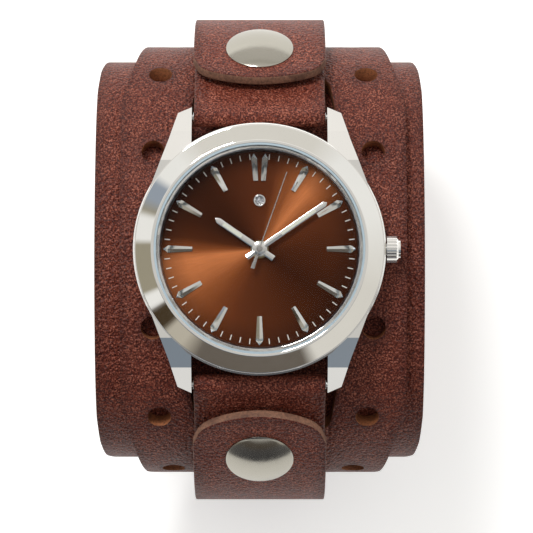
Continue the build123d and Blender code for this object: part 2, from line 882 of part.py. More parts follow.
def minute_lume():
    """The fill of the minute hand."""
    face = lume_outline(minute_lume_start, minute_lume_end, minute_hand_width)
    return placed(face, minute_hand_angle, minute_hand_z, minute_hand_thickness)


def second_hand():
    """The second hand: a thin needle, a wider tail and a small round cap."""
    middle = (second_hand_length - second_tail_start) / 2
    needle = Pos(0, middle) * Rectangle(second_needle_width, second_hand_length + second_tail_start)
    tail_middle = (second_hand_tail + second_tail_start) / 2
    tail = Pos(0, -tail_middle) * Rectangle(second_tail_width, second_hand_tail - second_tail_start)
    hand = placed(needle + tail + Circle(second_hub_radius), second_hand_angle, second_hand_z,
                  second_hand_thickness)
    return hand + drum(second_hub_radius, second_hand_z, second_hand_z + second_hub_height)


def gear_radius(teeth, module):
    """Pitch radius of a gear."""
    return teeth * module / 2


def gear(teeth, module, bottom, top, place=(0, 0), tooth_angle=0, spoked=False):
    """A toothed wheel with one tooth centred on an angle, in degrees from +X."""
    pitch = 360 / teeth
    tip = gear_radius(teeth, module) + addendum_share * module
    root = gear_radius(teeth, module) - dedendum_share * module
    corners = [(root, -tooth_root_share), (tip, -tooth_tip_share),
               (tip, tooth_tip_share), (root, tooth_root_share)]
    points = []
    for tooth in range(teeth):
        for radius, share in corners:
            turn = radians(tooth_angle + pitch * (tooth + share))
            points.append((radius * cos(turn), radius * sin(turn)))
    face = make_face(Polyline(*points, close=True))
    if spoked:
        for spoke in range(spoke_count):
            turn = 2 * pi * spoke / spoke_count
            hole = Circle(root * spoke_bore_share)
            face -= Pos(root * spoke_place_share * cos(turn), root * spoke_place_share * sin(turn)) * hole
    return Pos(place[0], place[1], bottom) * extrude(face, amount=top - bottom)


def polar(radius, angle):
    """A place at a distance and angle from the middle of the dial."""
    return (radius * cos(radians(angle)), radius * sin(radians(angle)))


def gap_angle(teeth, angle):
    """Tooth angle that puts a gap, not a tooth, in a direction."""
    return angle + 180 / teeth


third_place = polar(gear_radius(second_pinion_teeth + third_wheel_teeth, third_module), 0)
middle_distance = gear_radius(second_drive_teeth + second_wheel_teeth, second_module)
middle_place = (-middle_distance, 0)
rotor_distance = gear_radius(rotor_teeth + rotor_wheel_teeth, rotor_module)
rotor_place = (-middle_distance - rotor_distance, 0)
minute_place = (-gear_radius(cannon_teeth + minute_wheel_teeth, minute_module), 0)
battery_distance = plate_radius - battery_radius - battery_rim
battery_x, battery_y = polar(battery_distance, battery_angle)
clamp_start_x = coil_x + coil_length + seat_gap
board_end_x = (plate_radius ** 2 - (board_y + board_width / 2) ** 2) ** 0.5 - board_rim
pivot_bore = pivot_radius + running_gap


def arbor(place):
    """A thin arbor between the bridge and the main plate."""
    return drum(pivot_radius, bridge_z + running_gap, plate_z + plate_thickness / 2, *place)


def second_wheel():
    """The wheel that carries the second hand's arbor through the middle of the train."""
    top = second_wheel_z + second_wheel_thickness
    wheel = gear(second_wheel_teeth, second_module, second_wheel_z, top,
                 tooth_angle=gap_angle(second_wheel_teeth, 180), spoked=True)
    wheel += gear(second_pinion_teeth, third_module, top,
                  middle_wheel_z + middle_wheel_thickness + pinion_margin)
    wheel += drum(pivot_radius, bridge_z + running_gap, second_wheel_z)
    return wheel + drum(second_arbor_radius, second_wheel_z, second_hand_z)


def third_wheel():
    """The wheel between the second wheel's pinion and the centre wheel."""
    top = middle_wheel_z + middle_wheel_thickness
    wheel = gear(third_wheel_teeth, third_module, middle_wheel_z, top, third_place,
                 gap_angle(third_wheel_teeth, 180), True)
    pinion_top = centre_wheel_z + centre_wheel_thickness + pinion_margin
    wheel += gear(third_pinion_teeth, centre_module, top, pinion_top, third_place, 180)
    return wheel + arbor(third_place)


def centre_wheel():
    """The wheel and tube that turn once an hour, with the cannon pinion at the dial side."""
    top = centre_wheel_z + centre_wheel_thickness
    wheel = gear(centre_wheel_teeth, centre_module, centre_wheel_z, top,
                 tooth_angle=gap_angle(centre_wheel_teeth, 0), spoked=True)
    wheel += drum(centre_tube_radius, centre_wheel_z, hour_hand_z)
    wheel += gear(cannon_teeth, minute_module, cannon_z, cannon_z + cannon_thickness, tooth_angle=180)
    wheel += drum(centre_tube_radius, hour_hand_z, minute_hand_z - running_gap)
    wheel += drum((centre_tube_radius + centre_tube_bore) / 2, minute_hand_z - running_gap, minute_hand_z)
    return wheel - drum(centre_tube_bore, centre_wheel_z - overrun, minute_hand_z + overrun)


def minute_wheel():
    """The motion work's wheel between the cannon pinion and the hour wheel."""
    wheel_top = cannon_z + cannon_thickness - pinion_margin
    wheel = gear(minute_wheel_teeth, minute_module, cannon_z, wheel_top, minute_place,
                 gap_angle(minute_wheel_teeth, 0), True)
    pinion_top = hour_wheel_z + hour_wheel_thickness + pinion_margin
    wheel += gear(minute_pinion_teeth, hour_module, wheel_top, pinion_top, minute_place, 0)
    bore = minute_post_radius + running_gap
    return wheel - drum(bore, cannon_z - overrun, pinion_top + overrun, *minute_place)


def hour_wheel():
    """The wheel and tube that carry the hour hand."""
    wheel = gear(hour_wheel_teeth, hour_module, hour_wheel_z, hour_wheel_z + hour_wheel_thickness,
                 tooth_angle=gap_angle(hour_wheel_teeth, 180), spoked=True)
    wheel += drum(hour_tube_radius, hour_wheel_z, hour_hand_z)
    return wheel - drum(hour_tube_bore, hour_wheel_z - overrun, hour_hand_z + overrun)


def intermediate_wheel():
    """The wheel between the rotor and the second wheel."""
    wheel = gear(rotor_wheel_teeth, rotor_module, middle_wheel_z,
                 middle_wheel_z + middle_wheel_thickness, middle_place,
                 gap_angle(rotor_wheel_teeth, 180), True)
    wheel += gear(second_drive_teeth, second_module, second_wheel_z - pinion_margin, middle_wheel_z,
                  middle_place, 0)
    return wheel + arbor(middle_place)


def rotor():
    """The step motor's rotor: a pinion and a magnet on one arbor."""
    pinion_top = middle_wheel_z + middle_wheel_thickness + pinion_margin
    body = gear(rotor_teeth, rotor_module, middle_wheel_z - pinion_margin, pinion_top, rotor_place, 0)
    body += drum(rotor_magnet_radius, stator_z, stator_z + rotor_magnet_height, *rotor_place)
    return body + arbor(rotor_place)


def stator():
    """The soft iron plate round the rotor, with the arm that meets the coil's core."""
    x, y = rotor_place
    half = stator_width / 2
    face = Pos(x, (y + coil_y) / 2) * Rectangle(stator_width, y - coil_y)
    face += Pos(x, y) * Circle(half)
    face += Pos(x, coil_y) * Circle(half)
    face -= Pos(x, y) * Circle(stator_bore)
    return Pos(0, 0, stator_z) * extrude(face, amount=stator_thickness)


def coil():
    """The motor's winding on its core, under the stator's arm."""
    centre_z = stator_z - coil_radius
    winding = Pos(coil_x + coil_length / 2, coil_y, centre_z) * Rot(0, 90, 0) * Cylinder(
        coil_radius, coil_length)
    return winding


def main_plate():
    """The plate that carries the train, open for the arbors and grooved for the stem."""
    plate = drum(plate_radius, plate_z, plate_top_z)
    plate -= drum(plate_centre_bore, plate_z - overrun, plate_top_z + overrun)
    for place in (third_place, middle_place, rotor_place):
        plate -= drum(pivot_bore, plate_z - overrun, plate_top_z, *place)
    plate -= crown_cylinder(stem_radius + tube_bore_clearance, stem_end_x - seat_gap,
                             plate_radius + overrun)
    plate += drum(minute_post_radius, plate_top_z, plate_top_z + minute_post_height, *minute_place)
    for x, y in screw_places():
        plate += drum(pillar_radius, bridge_top_z, plate_z, x, y)
        plate -= drum(screw_radius, bridge_top_z, plate_z, x, y)
    return plate


def screw_places():
    """Places of the bridge screws."""
    return [(bridge_centre_x + hand * screw_x, side * screw_y) for hand in (1, -1) for side in (1, -1)]


def train_bridge():
    """The bridge that holds the lower pivots of the train."""
    face = Pos(bridge_centre_x, 0) * RectangleRounded(2 * bridge_half_length, 2 * bridge_half_width,
                                                      pillar_radius)
    bridge = Pos(0, 0, bridge_z) * extrude(face, amount=bridge_thickness)
    for place in ((0, 0), third_place, middle_place, rotor_place):
        bridge -= drum(pivot_bore, bridge_z - overrun, bridge_top_z + overrun, *place)
    for x, y in screw_places():
        bridge -= drum(screw_radius, bridge_z - overrun, bridge_top_z + overrun, x, y)
    return bridge


def bridge_screws():
    """The screws that hold the bridge to the plate's pillars."""
    screws = []
    for x, y in screw_places():
        shank = drum(screw_radius, bridge_z, plate_z, x, y)
        head = drum(screw_head_radius, bridge_z - screw_head_height, bridge_z, x, y)
        slot = Pos(x, y, bridge_z - screw_head_height) * Box(
            2 * screw_head_radius, screw_head_height / 2, screw_head_height)
        screws.append(shank + head - slot)
    return screws


def battery():
    """The round cell against the main plate."""
    cell = drum(battery_radius, plate_z - battery_height, plate_z, battery_x, battery_y)
    return chamfer(cell.edges().group_by(Axis.Z)[0], clamp_thickness)


def battery_clamp():
    """The spring strip under the cell, with a foot up to the main plate at its inner end."""
    bottom = plate_z - battery_height - clamp_thickness
    end_x = battery_x + clamp_width
    strip_face = Pos((clamp_start_x + end_x) / 2, battery_y) * Rectangle(
        end_x - clamp_start_x, clamp_width)
    foot_x = clamp_start_x + clamp_thickness
    foot_face = Pos(foot_x, battery_y) * Rectangle(2 * clamp_thickness, clamp_width)
    strip = Pos(0, 0, bottom) * extrude(strip_face, amount=clamp_thickness)
    return strip + Pos(0, 0, bottom) * extrude(foot_face, amount=plate_z - bottom)


def circuit_board():
    """The circuit board against the main plate."""
    face = Pos((board_start_x + board_end_x) / 2, board_y) * RectangleRounded(
        board_end_x - board_start_x, board_width, pillar_radius)
    return Pos(0, 0, plate_z - board_thickness) * extrude(face, amount=board_thickness)


def quartz_can():
    """The crystal's metal can under the circuit board."""
    z = plate_z - board_thickness - can_radius
    can = Pos(can_x + can_length / 2, board_y, z) * Rot(0, 90, 0) * Cylinder(can_radius, can_length)
    return can


def movement_holder():
    """The ring that centres the movement in the case, notched for the stem."""
    step_z = case_bottom_z + back_neck_height + back_gasket_width
    holder = ring(holder_outer_radius, plate_radius, step_z, dial_z)
    holder += ring(inside_back_radius(), plate_radius, holder_bottom_z, step_z)
    notch_height = dial_z - crown_z + tube_radius
    notch = Pos(case_radius / 2, 0, dial_z - notch_height / 2) * Box(
        case_radius, 2 * tube_radius, notch_height)
    return holder - notch


def inside_back_radius():
    """How far out the holder reaches inside the caseback's neck."""
    return case_bore - 2 * back_gasket_width - running_gap


def setting_lever():
    """The lever that rides in the stem's groove and follows the crown in and out."""
    x = stem_groove_x + stem_groove_length / 2
    inner_y = stem_radius + 2 * running_gap
    plate = Pos(x, inner_y + lever_width / 2) * Rectangle(lever_length, lever_width)
    tongue_end = stem_groove_radius + running_gap
    tongue_middle = (tongue_end + inner_y) / 2
    plate += Pos(x, tongue_middle) * Rectangle(lever_tongue_length, inner_y - tongue_end)
    return Pos(0, 0, plate_top_z + running_gap) * extrude(plate, amount=lever_thickness)


def write(name, shapes):
    """Raise a sub-part so that the object rests at Z = 0, and write it."""
    solids = shapes if isinstance(shapes, list) else [shapes]
    raised_solids = [Pos(0, 0, rest_height) * solid for solid in solids]
    whole = raised_solids[0] if len(raised_solids) == 1 else Compound(children=raised_solids)
    export_step(whole, f"parts/{name}.step")


def main():
    """Build each sub-part and write it."""
    os.makedirs("parts", exist_ok=True)
    for side, word in ((1, "upper"), (-1, "lower")):
        write(f"{word}_lug_strap", lug_strap(side))
        write(f"{word}_flap", flap(side))
        write(f"{word}_snap_cap", snap_cap(side))
        write(f"{word}_snap_socket", snap_socket(side))
    write("snap_studs", [snap_stud(1), snap_stud(-1)])
    write("snap_posts", [snap_post(1), snap_post(-1)])
    makers = (
        base_band, overlay_band, closure_strap, spring_bars, mid_case, caseback, caseback_gasket,
        bezel, crystal, crystal_gasket, rehaut_ring, dial, hour_markers, stone_setting, stone,
        crown, crown_gasket, case_tube, stem, setting_lever, movement_holder, main_plate,
        train_bridge, bridge_screws, battery, battery_clamp, circuit_board, quartz_can, coil,
        stator, rotor, intermediate_wheel, second_wheel, third_wheel, centre_wheel,
        minute_wheel, hour_wheel, hour_hand, hour_lume, minute_hand, minute_lume, second_hand)
    for maker in makers:
        write(maker.__name__, maker())


main()
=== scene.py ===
"""Cuff watch in a pale studio: leather bands, polished case, brown dial and hands.

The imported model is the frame. Leather pieces are cut flat and laid along lines in the side view.
"""

import json
from math import acos, asin, atan2, cos, hypot, pi, radians, sin, sqrt

import bpy
from mathutils import Vector
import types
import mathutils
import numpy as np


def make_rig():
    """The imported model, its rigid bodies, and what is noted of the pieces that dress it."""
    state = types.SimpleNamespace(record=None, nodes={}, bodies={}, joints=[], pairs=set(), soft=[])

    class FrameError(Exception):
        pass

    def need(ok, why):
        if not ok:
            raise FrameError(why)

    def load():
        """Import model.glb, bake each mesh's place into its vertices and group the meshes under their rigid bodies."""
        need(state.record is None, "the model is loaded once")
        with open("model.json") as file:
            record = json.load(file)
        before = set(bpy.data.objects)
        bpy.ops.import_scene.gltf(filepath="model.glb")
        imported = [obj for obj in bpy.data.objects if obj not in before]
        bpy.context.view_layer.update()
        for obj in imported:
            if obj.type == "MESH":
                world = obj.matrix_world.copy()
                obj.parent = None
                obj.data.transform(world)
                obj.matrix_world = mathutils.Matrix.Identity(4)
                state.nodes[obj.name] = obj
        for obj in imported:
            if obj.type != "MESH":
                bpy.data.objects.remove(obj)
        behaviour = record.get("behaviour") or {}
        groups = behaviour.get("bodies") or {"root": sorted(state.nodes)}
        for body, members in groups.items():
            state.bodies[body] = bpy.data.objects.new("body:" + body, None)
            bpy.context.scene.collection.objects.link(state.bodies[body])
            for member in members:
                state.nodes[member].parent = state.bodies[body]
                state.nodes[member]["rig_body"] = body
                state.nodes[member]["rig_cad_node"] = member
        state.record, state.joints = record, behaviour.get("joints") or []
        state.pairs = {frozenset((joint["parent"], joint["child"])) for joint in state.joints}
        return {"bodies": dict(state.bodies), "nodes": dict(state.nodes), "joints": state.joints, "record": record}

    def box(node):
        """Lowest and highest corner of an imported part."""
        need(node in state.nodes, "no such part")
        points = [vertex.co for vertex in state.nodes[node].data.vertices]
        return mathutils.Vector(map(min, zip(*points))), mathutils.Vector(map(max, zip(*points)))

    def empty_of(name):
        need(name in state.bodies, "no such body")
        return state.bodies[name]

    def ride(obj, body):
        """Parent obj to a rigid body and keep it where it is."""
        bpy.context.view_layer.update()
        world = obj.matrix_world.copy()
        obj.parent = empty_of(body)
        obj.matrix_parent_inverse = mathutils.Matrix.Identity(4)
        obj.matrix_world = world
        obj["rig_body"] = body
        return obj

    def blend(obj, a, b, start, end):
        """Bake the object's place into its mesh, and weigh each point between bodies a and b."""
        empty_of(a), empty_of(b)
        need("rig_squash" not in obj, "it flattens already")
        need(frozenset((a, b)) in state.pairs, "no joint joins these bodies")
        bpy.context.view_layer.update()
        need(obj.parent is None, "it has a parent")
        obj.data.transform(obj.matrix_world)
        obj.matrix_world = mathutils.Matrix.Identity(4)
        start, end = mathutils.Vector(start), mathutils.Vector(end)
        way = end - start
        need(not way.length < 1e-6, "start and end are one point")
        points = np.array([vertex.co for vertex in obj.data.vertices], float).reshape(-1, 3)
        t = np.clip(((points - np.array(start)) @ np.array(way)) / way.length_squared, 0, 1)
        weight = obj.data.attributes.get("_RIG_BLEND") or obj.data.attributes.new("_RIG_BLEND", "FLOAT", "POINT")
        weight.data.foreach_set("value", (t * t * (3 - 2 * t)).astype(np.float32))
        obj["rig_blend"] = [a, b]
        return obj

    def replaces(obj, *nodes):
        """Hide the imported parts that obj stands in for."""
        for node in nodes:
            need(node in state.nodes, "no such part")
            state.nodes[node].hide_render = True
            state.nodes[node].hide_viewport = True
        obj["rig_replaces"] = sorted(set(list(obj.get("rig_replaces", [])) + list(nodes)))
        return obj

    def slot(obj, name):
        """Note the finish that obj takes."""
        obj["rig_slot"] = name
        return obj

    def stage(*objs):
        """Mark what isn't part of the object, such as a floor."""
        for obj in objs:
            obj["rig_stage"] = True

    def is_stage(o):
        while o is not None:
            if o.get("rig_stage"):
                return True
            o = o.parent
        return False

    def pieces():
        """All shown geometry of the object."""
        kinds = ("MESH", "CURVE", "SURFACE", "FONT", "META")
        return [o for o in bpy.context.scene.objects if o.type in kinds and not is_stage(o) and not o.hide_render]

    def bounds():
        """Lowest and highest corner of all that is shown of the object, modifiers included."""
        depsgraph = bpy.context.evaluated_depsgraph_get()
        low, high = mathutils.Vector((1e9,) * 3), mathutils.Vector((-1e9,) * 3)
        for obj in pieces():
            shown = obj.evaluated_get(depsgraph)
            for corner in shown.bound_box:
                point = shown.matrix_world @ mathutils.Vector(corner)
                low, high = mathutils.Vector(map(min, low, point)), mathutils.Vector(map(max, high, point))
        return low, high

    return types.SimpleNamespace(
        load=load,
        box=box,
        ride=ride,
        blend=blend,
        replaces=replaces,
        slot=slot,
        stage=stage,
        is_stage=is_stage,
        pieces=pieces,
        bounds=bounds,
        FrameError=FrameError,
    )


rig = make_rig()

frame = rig.load()
CAD_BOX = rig.bounds()

bl_info = {
    "name": "Cuff Watch",
    "version": (1, 0, 0),
    "blender": (4, 5, 0),
    "location": "View3D > Sidebar > Cuff Watch",
    "description": "Dresses a cuff watch with leather, polished steel, dial and hands",
    "category": "Object",
}

MM = 0.001
BASE_LOW, BASE_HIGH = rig.box("base_band")
OVERLAY_LOW, OVERLAY_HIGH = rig.box("overlay_band")
STRAP_LOW, STRAP_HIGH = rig.box("upper_lug_strap")
CLOSURE_LOW, CLOSURE_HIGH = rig.box("closure_strap")
DIAL_LOW, DIAL_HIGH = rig.box("dial")
BEZEL_LOW, BEZEL_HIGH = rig.box("bezel")
BARS_LOW, BARS_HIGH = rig.box("spring_bars")
HEAD_X = (DIAL_LOW.x + DIAL_HIGH.x) / 2
BASE_X = (BASE_LOW.x + BASE_HIGH.x) / 2
OVERLAY_X = (OVERLAY_LOW.x + OVERLAY_HIGH.x) / 2


def a_length(label, about, millimetres):
    """A length setting, given in millimetres."""
    return bpy.props.FloatProperty(name=label, description=about, default=millimetres * MM, unit="LENGTH")


def an_angle(label, about, degrees):
    """An angle setting, given in degrees."""
    return bpy.props.FloatProperty(name=label, description=about, default=radians(degrees), unit="ROTATION")


def a_colour(label, about, red, green, blue):
    """A colour setting."""
    return bpy.props.FloatVectorProperty(name=label, description=about, subtype="COLOR", size=3,
                                         min=0, max=1, default=(red, green, blue))


class CuffSizes(bpy.types.PropertyGroup):
    """Sizes of the leather, in the side view and in the flat."""

    half_height: a_length("Half height", "From the middle of the wrist oval to the base band's top", 24.0)
    side_radius: a_length("Side radius", "Radius of the wrist oval at its two sides", 22.0)
    base_thickness: a_length("Base thickness", "Thickness of the base band's leather", 2.2)
    overlay_gap: a_length("Overlay gap", "Air between the two bands", 0.1)
    overlay_thickness: a_length("Overlay thickness", "Thickness of the overlay band's leather", 2.5)
    strap_gap: a_length("Strap gap", "Air between the overlay band and a lug strap", 0.2)
    strap_thickness: a_length("Strap thickness", "Thickness of the lug straps and the closure strap", 1.7)
    flap_gap: a_length("Flap gap", "Air between a lug strap and the flap over it", 1.1)
    strap_end_angle: an_angle("Strap end angle", "Where a lug strap ends, round the oval's side", 104.5)
    heel_angle: an_angle("Heel angle", "Where the closure strap starts to turn under the wrist", 100.0)
    heel_radius: a_length("Heel radius", "Inner radius of the closure strap under the wrist", 22.0)
    hinge_angle: an_angle("Fold angle", "Where a flap folds, round the oval's side", 80.0)
    fold_length: a_length("Fold length", "Length of leather that bends when a flap is lifted", 9.0)
    upper_reach: a_length("Upper flap reach", "From the snap's middle to the upper flap's round end", 8.2)
    upper_sagitta: a_length("Upper flap end", "How far the upper flap's end bulges between its corners", 3.3)
    lower_reach: a_length("Lower flap reach", "From the snap's middle to the lower flap's round end", 10.3)
    lower_sagitta: a_length("Lower flap end", "How far the lower flap's end bulges between its corners", 4.4)
    flap_corner: a_length("Flap corner", "Corner radius at the flap's end", 2.6)
    strap_corner: a_length("Strap corner", "Corner radius at a lug strap's end", 5.0)
    base_corner: a_length("Base corner", "Corner radius at the base band's ends", 6.0)
    overlay_corner: a_length("Overlay corner", "Corner radius at the overlay band's ends", 4.0)
    base_end: an_angle("Base end", "Where the base band ends, round the oval's side", 128.2)
    overlay_end: an_angle("Overlay end", "Where the overlay band ends, round the oval's side", 118.7)
    window_radius: a_length("Window radius", "Round opening of the overlay under the watch head", 19.2)
    window_root: a_length("Window root", "Half width of the opening's slot near the head", 13.6)
    window_end: a_length("Window end", "Half width of the opening's slot at its far end", 10.9)
    hole_radius: a_length("Hole radius", "Radius of the punched holes", 1.95)
    hole_shift: a_length("Hole shift", "How far the holes lie towards 12 o'clock", 1.95)
    rim_round: a_length("Edge rounding", "How far the leather's cut edges are rounded", 0.45)
    grid: a_length("Mesh size", "Spacing of the leather's mesh", 0.9)


class HeadSizes(bpy.types.PropertyGroup):
    """Sizes of the metal, the markers and the hands."""

    bezel_top: a_length("Bezel top", "Radius where the bezel's slope meets its flat rim", 17.5)
    bezel_bore: a_length("Bezel bore", "Radius of the bezel's opening", 17.05)
    bezel_step: a_length("Bezel step", "Height of the step at the bezel's foot", 0.45)
    bezel_step_width: a_length("Bezel step width", "Width of the step at the bezel's foot", 0.15)
    bezel_ring: a_length("Bezel ring", "Width of the bezel's foot", 4.0)
    bezel_seat: a_length("Bezel seat", "Height of the crystal's seat over the bezel's foot", 0.9)
    cap_radius: a_length("Cap radius", "Radius of the snap caps", 5.6)
    cap_height: a_length("Cap height", "Height of the snap caps", 1.75)
    cap_edge: a_length("Cap edge", "Height of a cap's upright edge", 0.55)
    cap_sink: a_length("Cap sink", "How deep a cap sits in its flap", 0.35)
    marker_inner: a_length("Marker start", "Radius where the hour markers start", 10.9)
    marker_outer: a_length("Marker end", "Radius where the hour markers end", 15.6)
    marker_inner_width: a_length("Marker inner width", "Width of a marker at its inner end", 0.75)
    marker_outer_width: a_length("Marker outer width", "Width of a marker near its point", 1.2)
    marker_height: a_length("Marker height", "Height of a marker's ridge over the dial", 0.45)
    twin_width: a_length("Pair width", "Width of each marker of the pair", 0.95)
    twin_inner: a_length("Pair inner place", "Place of each of the pair, at its inner end", 0.60)
    twin_outer: a_length("Pair outer place", "Place of each of the pair, at its outer end", 0.95)
    tick_radius: a_length("Track radius", "Radius of the middle of the minute marks", 15.05)
    tick_length: a_length("Mark length", "Length of a minute mark", 0.9)
    tick_width: a_length("Mark width", "Width of a minute mark", 0.15)
    print_height: a_length("Print height", "Thickness of printed marks and of the hands' fill", 0.02)
    gem_radius: a_length("Stone radius", "Radius of the stone in its cup", 0.72)
    hour_length: a_length("Hour hand", "Length of the hour hand", 8.65)
    minute_length: a_length("Minute hand", "Length of the minute hand", 13.25)
    second_length: a_length("Second hand", "Length of the second hand", 13.2)
    hour_angle: an_angle("Hour angle", "Hour hand at rest, clockwise from 12 o'clock", 304.5)
    minute_angle: an_angle("Minute angle", "Minute hand at rest, clockwise from 12 o'clock", 55.5)
    second_angle: an_angle("Second angle", "Second hand at rest, clockwise from 12 o'clock", 19.6)


class LeatherLook(bpy.types.PropertyGroup):
    """Colours and grain of the leather."""

    grain: a_colour("Grain colour", "Reddish brown of the dyed surface", 0.112, 0.018, 0.009)
    # The pale specks' colour: painted highlight standing for the grain's glints
    worn: a_colour("Worn colour", "Paler brown where the surface is rubbed", 0.37, 0.125, 0.078)
    pore: a_colour("Pore colour", "Dark brown in the pores and along the edges", 0.026, 0.004, 0.003)
    cut_edge: a_colour("Cut edge colour", "Raw brown of the cut edges", 0.26, 0.125, 0.075)
    # Partly the raw edge's own brown, made warmer and brighter than the other cut edges as painted light for the lit
    # walls of the holes
    hole_wall: a_colour("Hole wall colour", "Warm raw brown inside the holes", 0.36, 0.125, 0.045)
    suede: a_colour("Flesh side colour", "Raw side of the leather against the wrist", 0.26, 0.13, 0.08)
    pebble: a_length("Pebble size", "Size of the leather's pebbled grain", 0.50)
    grain_depth: a_length("Grain depth", "Depth of the leather's grain", 0.16)


class StageLook(bpy.types.PropertyGroup):
    """Camera, floor and light."""

    elevation: an_angle("Elevation", "Camera's height angle above the floor", 87.0)
    distance: a_length("Distance", "From the camera to the dial", 450)
    view_width: a_length("View width", "Width of the picture at the dial", 86.4)
    aim_x: a_length("Aim across", "Picture's middle, from the dial's middle, across", 1.13)
    aim_y: a_length("Aim along", "Picture's middle, from the dial's middle, towards 12", -2.83)
    floor: a_colour("Floor colour", "Colour of the floor", 0.93, 0.93, 0.92)


SMOOTH_ANGLE = radians(38)
WELD = 0.001 * MM


def deselect():
    """Leave edit mode and select nothing."""
    if bpy.context.object and bpy.context.object.mode != "OBJECT":
        bpy.ops.object.mode_set(mode="OBJECT")
    bpy.ops.object.select_all(action="DESELECT")


def pick(piece):
    """Select one piece alone and make it active."""
    deselect()
    piece.select_set(True)
    bpy.context.view_layer.objects.active = piece


def added(name, make, **settings):
    """A new piece, light or camera from one of Blender's add operators."""
    deselect()
    make(**settings)
    piece = bpy.context.object
    piece.name = name
    return piece


def modify(piece, kind, **settings):
    """Add a modifier to a piece and apply it."""
    pick(piece)
    modifier = piece.modifiers.new(kind.title(), kind)
    for name, value in settings.items():
        setattr(modifier, name, value)
    bpy.ops.object.modifier_apply(modifier=modifier.name)


def settle(piece):
    """Put a piece's place, turn and size into its mesh."""
    pick(piece)
    bpy.ops.object.transform_apply(location=True, rotation=True, scale=True)


def smooth(piece, angle=SMOOTH_ANGLE):
    """Shade a piece smooth, but for its sharp edges."""
    pick(piece)
    bpy.ops.object.shade_smooth_by_angle(angle=angle)


def face_outwards(piece):
    """Merge doubles and turn every face outwards."""
    pick(piece)
    bpy.ops.object.mode_set(mode="EDIT")
    bpy.ops.mesh.select_all(action="SELECT")
    bpy.ops.mesh.remove_doubles(threshold=WELD)
    bpy.ops.mesh.normals_make_consistent(inside=False)
    bpy.ops.object.mode_set(mode="OBJECT")


def joined(pieces, name):
    """Several pieces as one."""
    deselect()
    for piece in pieces:
        piece.select_set(True)
    bpy.context.view_layer.objects.active = pieces[0]
    bpy.ops.object.join()
    whole = bpy.context.object
    whole.name = name
    whole.data.name = name
    return whole


def paint(piece, *materials):
    """Give a piece its materials, in slot order."""
    piece.data.materials.clear()
    for material in materials:
        piece.data.materials.append(material)


class Route:
    """A line in the side view, of arcs and straight runs, that leather lies along."""

    def __init__(self, begin=0.0):
        self.begin = begin
        self.parts = []

    def arc(self, centre, radius, first, last):
        """Add an arc, between angles measured from up towards 12 o'clock."""
        self.parts.append(("arc", centre, radius, first, last, radius * (last - first)))
        return self

    def run(self, start, angle, length):
        """Add a straight run whose outward normal has an angle."""
        self.parts.append(("run", start, 0.0, angle, angle, length))
        return self

    def at(self, along, lift):
        """Place across and up, at a length along the line and lifted outwards from it."""
        left = along - self.begin
        for index, (kind, place, radius, first, last, length) in enumerate(self.parts):
            if left <= length or index == len(self.parts) - 1:
                break
            left -= length
        if kind == "arc":
            angle = first + left / radius
            return place[0] + (radius + lift) * sin(angle), place[1] + (radius + lift) * cos(angle)
        y = place[0] + left * cos(first) + lift * sin(first)
        return y, place[1] - left * sin(first) + lift * cos(first)


class Oval:
    """The wrist oval in the side view and the places of what lies round it."""

    def __init__(self):
        sizes = bpy.context.scene.cuff_sizes
        self.level = BASE_HIGH.z - sizes.half_height
        self.side_y = BASE_HIGH.y - sizes.side_radius
        rise = sizes.half_height ** 2 - sizes.side_radius ** 2
        self.top_radius = (self.side_y ** 2 + rise) / (2 * (sizes.half_height - sizes.side_radius))
        self.drop = self.top_radius - sizes.half_height
        self.turn = atan2(self.side_y, self.drop)
        self.side = (self.side_y, self.level)
        self.overlay_lift = sizes.overlay_gap + sizes.overlay_thickness
        self.strap_radius = sizes.side_radius + self.overlay_lift + sizes.strap_gap
        self.flap_radius = self.strap_radius + sizes.strap_thickness + sizes.flap_gap
        self.bar = (BARS_HIGH.y - (BARS_HIGH.z - BARS_LOW.z) / 2, (BARS_LOW.z + BARS_HIGH.z) / 2)
        across, up = self.bar[0] - self.side[0], self.bar[1] - self.side[1]
        self.fall = atan2(across, up) + acos(self.strap_radius / hypot(across, up))

    def band(self, lift):
        """Route round the oval at a lift, with its zero at the top, for one half."""
        sizes = bpy.context.scene.cuff_sizes
        top = (0.0, self.level - self.drop)
        route = Route().arc(top, self.top_radius + lift, 0.0, self.turn)
        return route.arc(self.side, sizes.side_radius + lift, self.turn, pi)

    def along(self, lift, angle):
        """Length from the top to an angle of the side arc, at a lift."""
        sizes = bpy.context.scene.cuff_sizes
        top = (self.top_radius + lift) * self.turn
        return top + (sizes.side_radius + lift) * (angle - self.turn)

    def on_side(self, radius, angle):
        """Place on a circle about the side arc's middle."""
        return self.side[0] + radius * sin(angle), self.side[1] + radius * cos(angle)


def between(table, value):
    """Value of a table of (place, size) rows, even between them and level past its ends."""
    if value <= table[0][0]:
        return table[0][1]
    for (first, low), (last, high) in zip(table, table[1:]):
        if value <= last:
            share = (value - first) / (last - first)
            return low + (high - low) * share
    return table[-1][1]


CORNER_LIMIT = 0.995


def corner_drop(x, half_width, radius):
    """How far a round corner draws the end of a piece back, at a place across it."""
    over = min(max(abs(x) - (half_width - radius), 0.0), radius * CORNER_LIMIT)
    return radius - sqrt(radius ** 2 - over ** 2)


def cut_away(piece, cutters):
    """Take cutters out of a piece, and the cutters out of the scene."""
    for cutter in cutters:
        modify(piece, "BOOLEAN", object=cutter, operation="DIFFERENCE", solver="EXACT")
        bpy.data.objects.remove(cutter)


WIDTH_SAMPLES, FEWEST_CELLS = 40, 8
RIM_SEGMENTS, RIM_ANGLE = 3, radians(50)
HOLE_SIDES, SLOT_SEGMENTS, SLOT_CORNER_SHARE = 40, 5, 0.2
EDGE_SHADE = 3.0 * MM
FLESH_SLOPE, GRAIN_SLOPE = -0.8, 0.45
GRAIN_FACE, EDGE_FACE, FLESH_FACE = range(3)


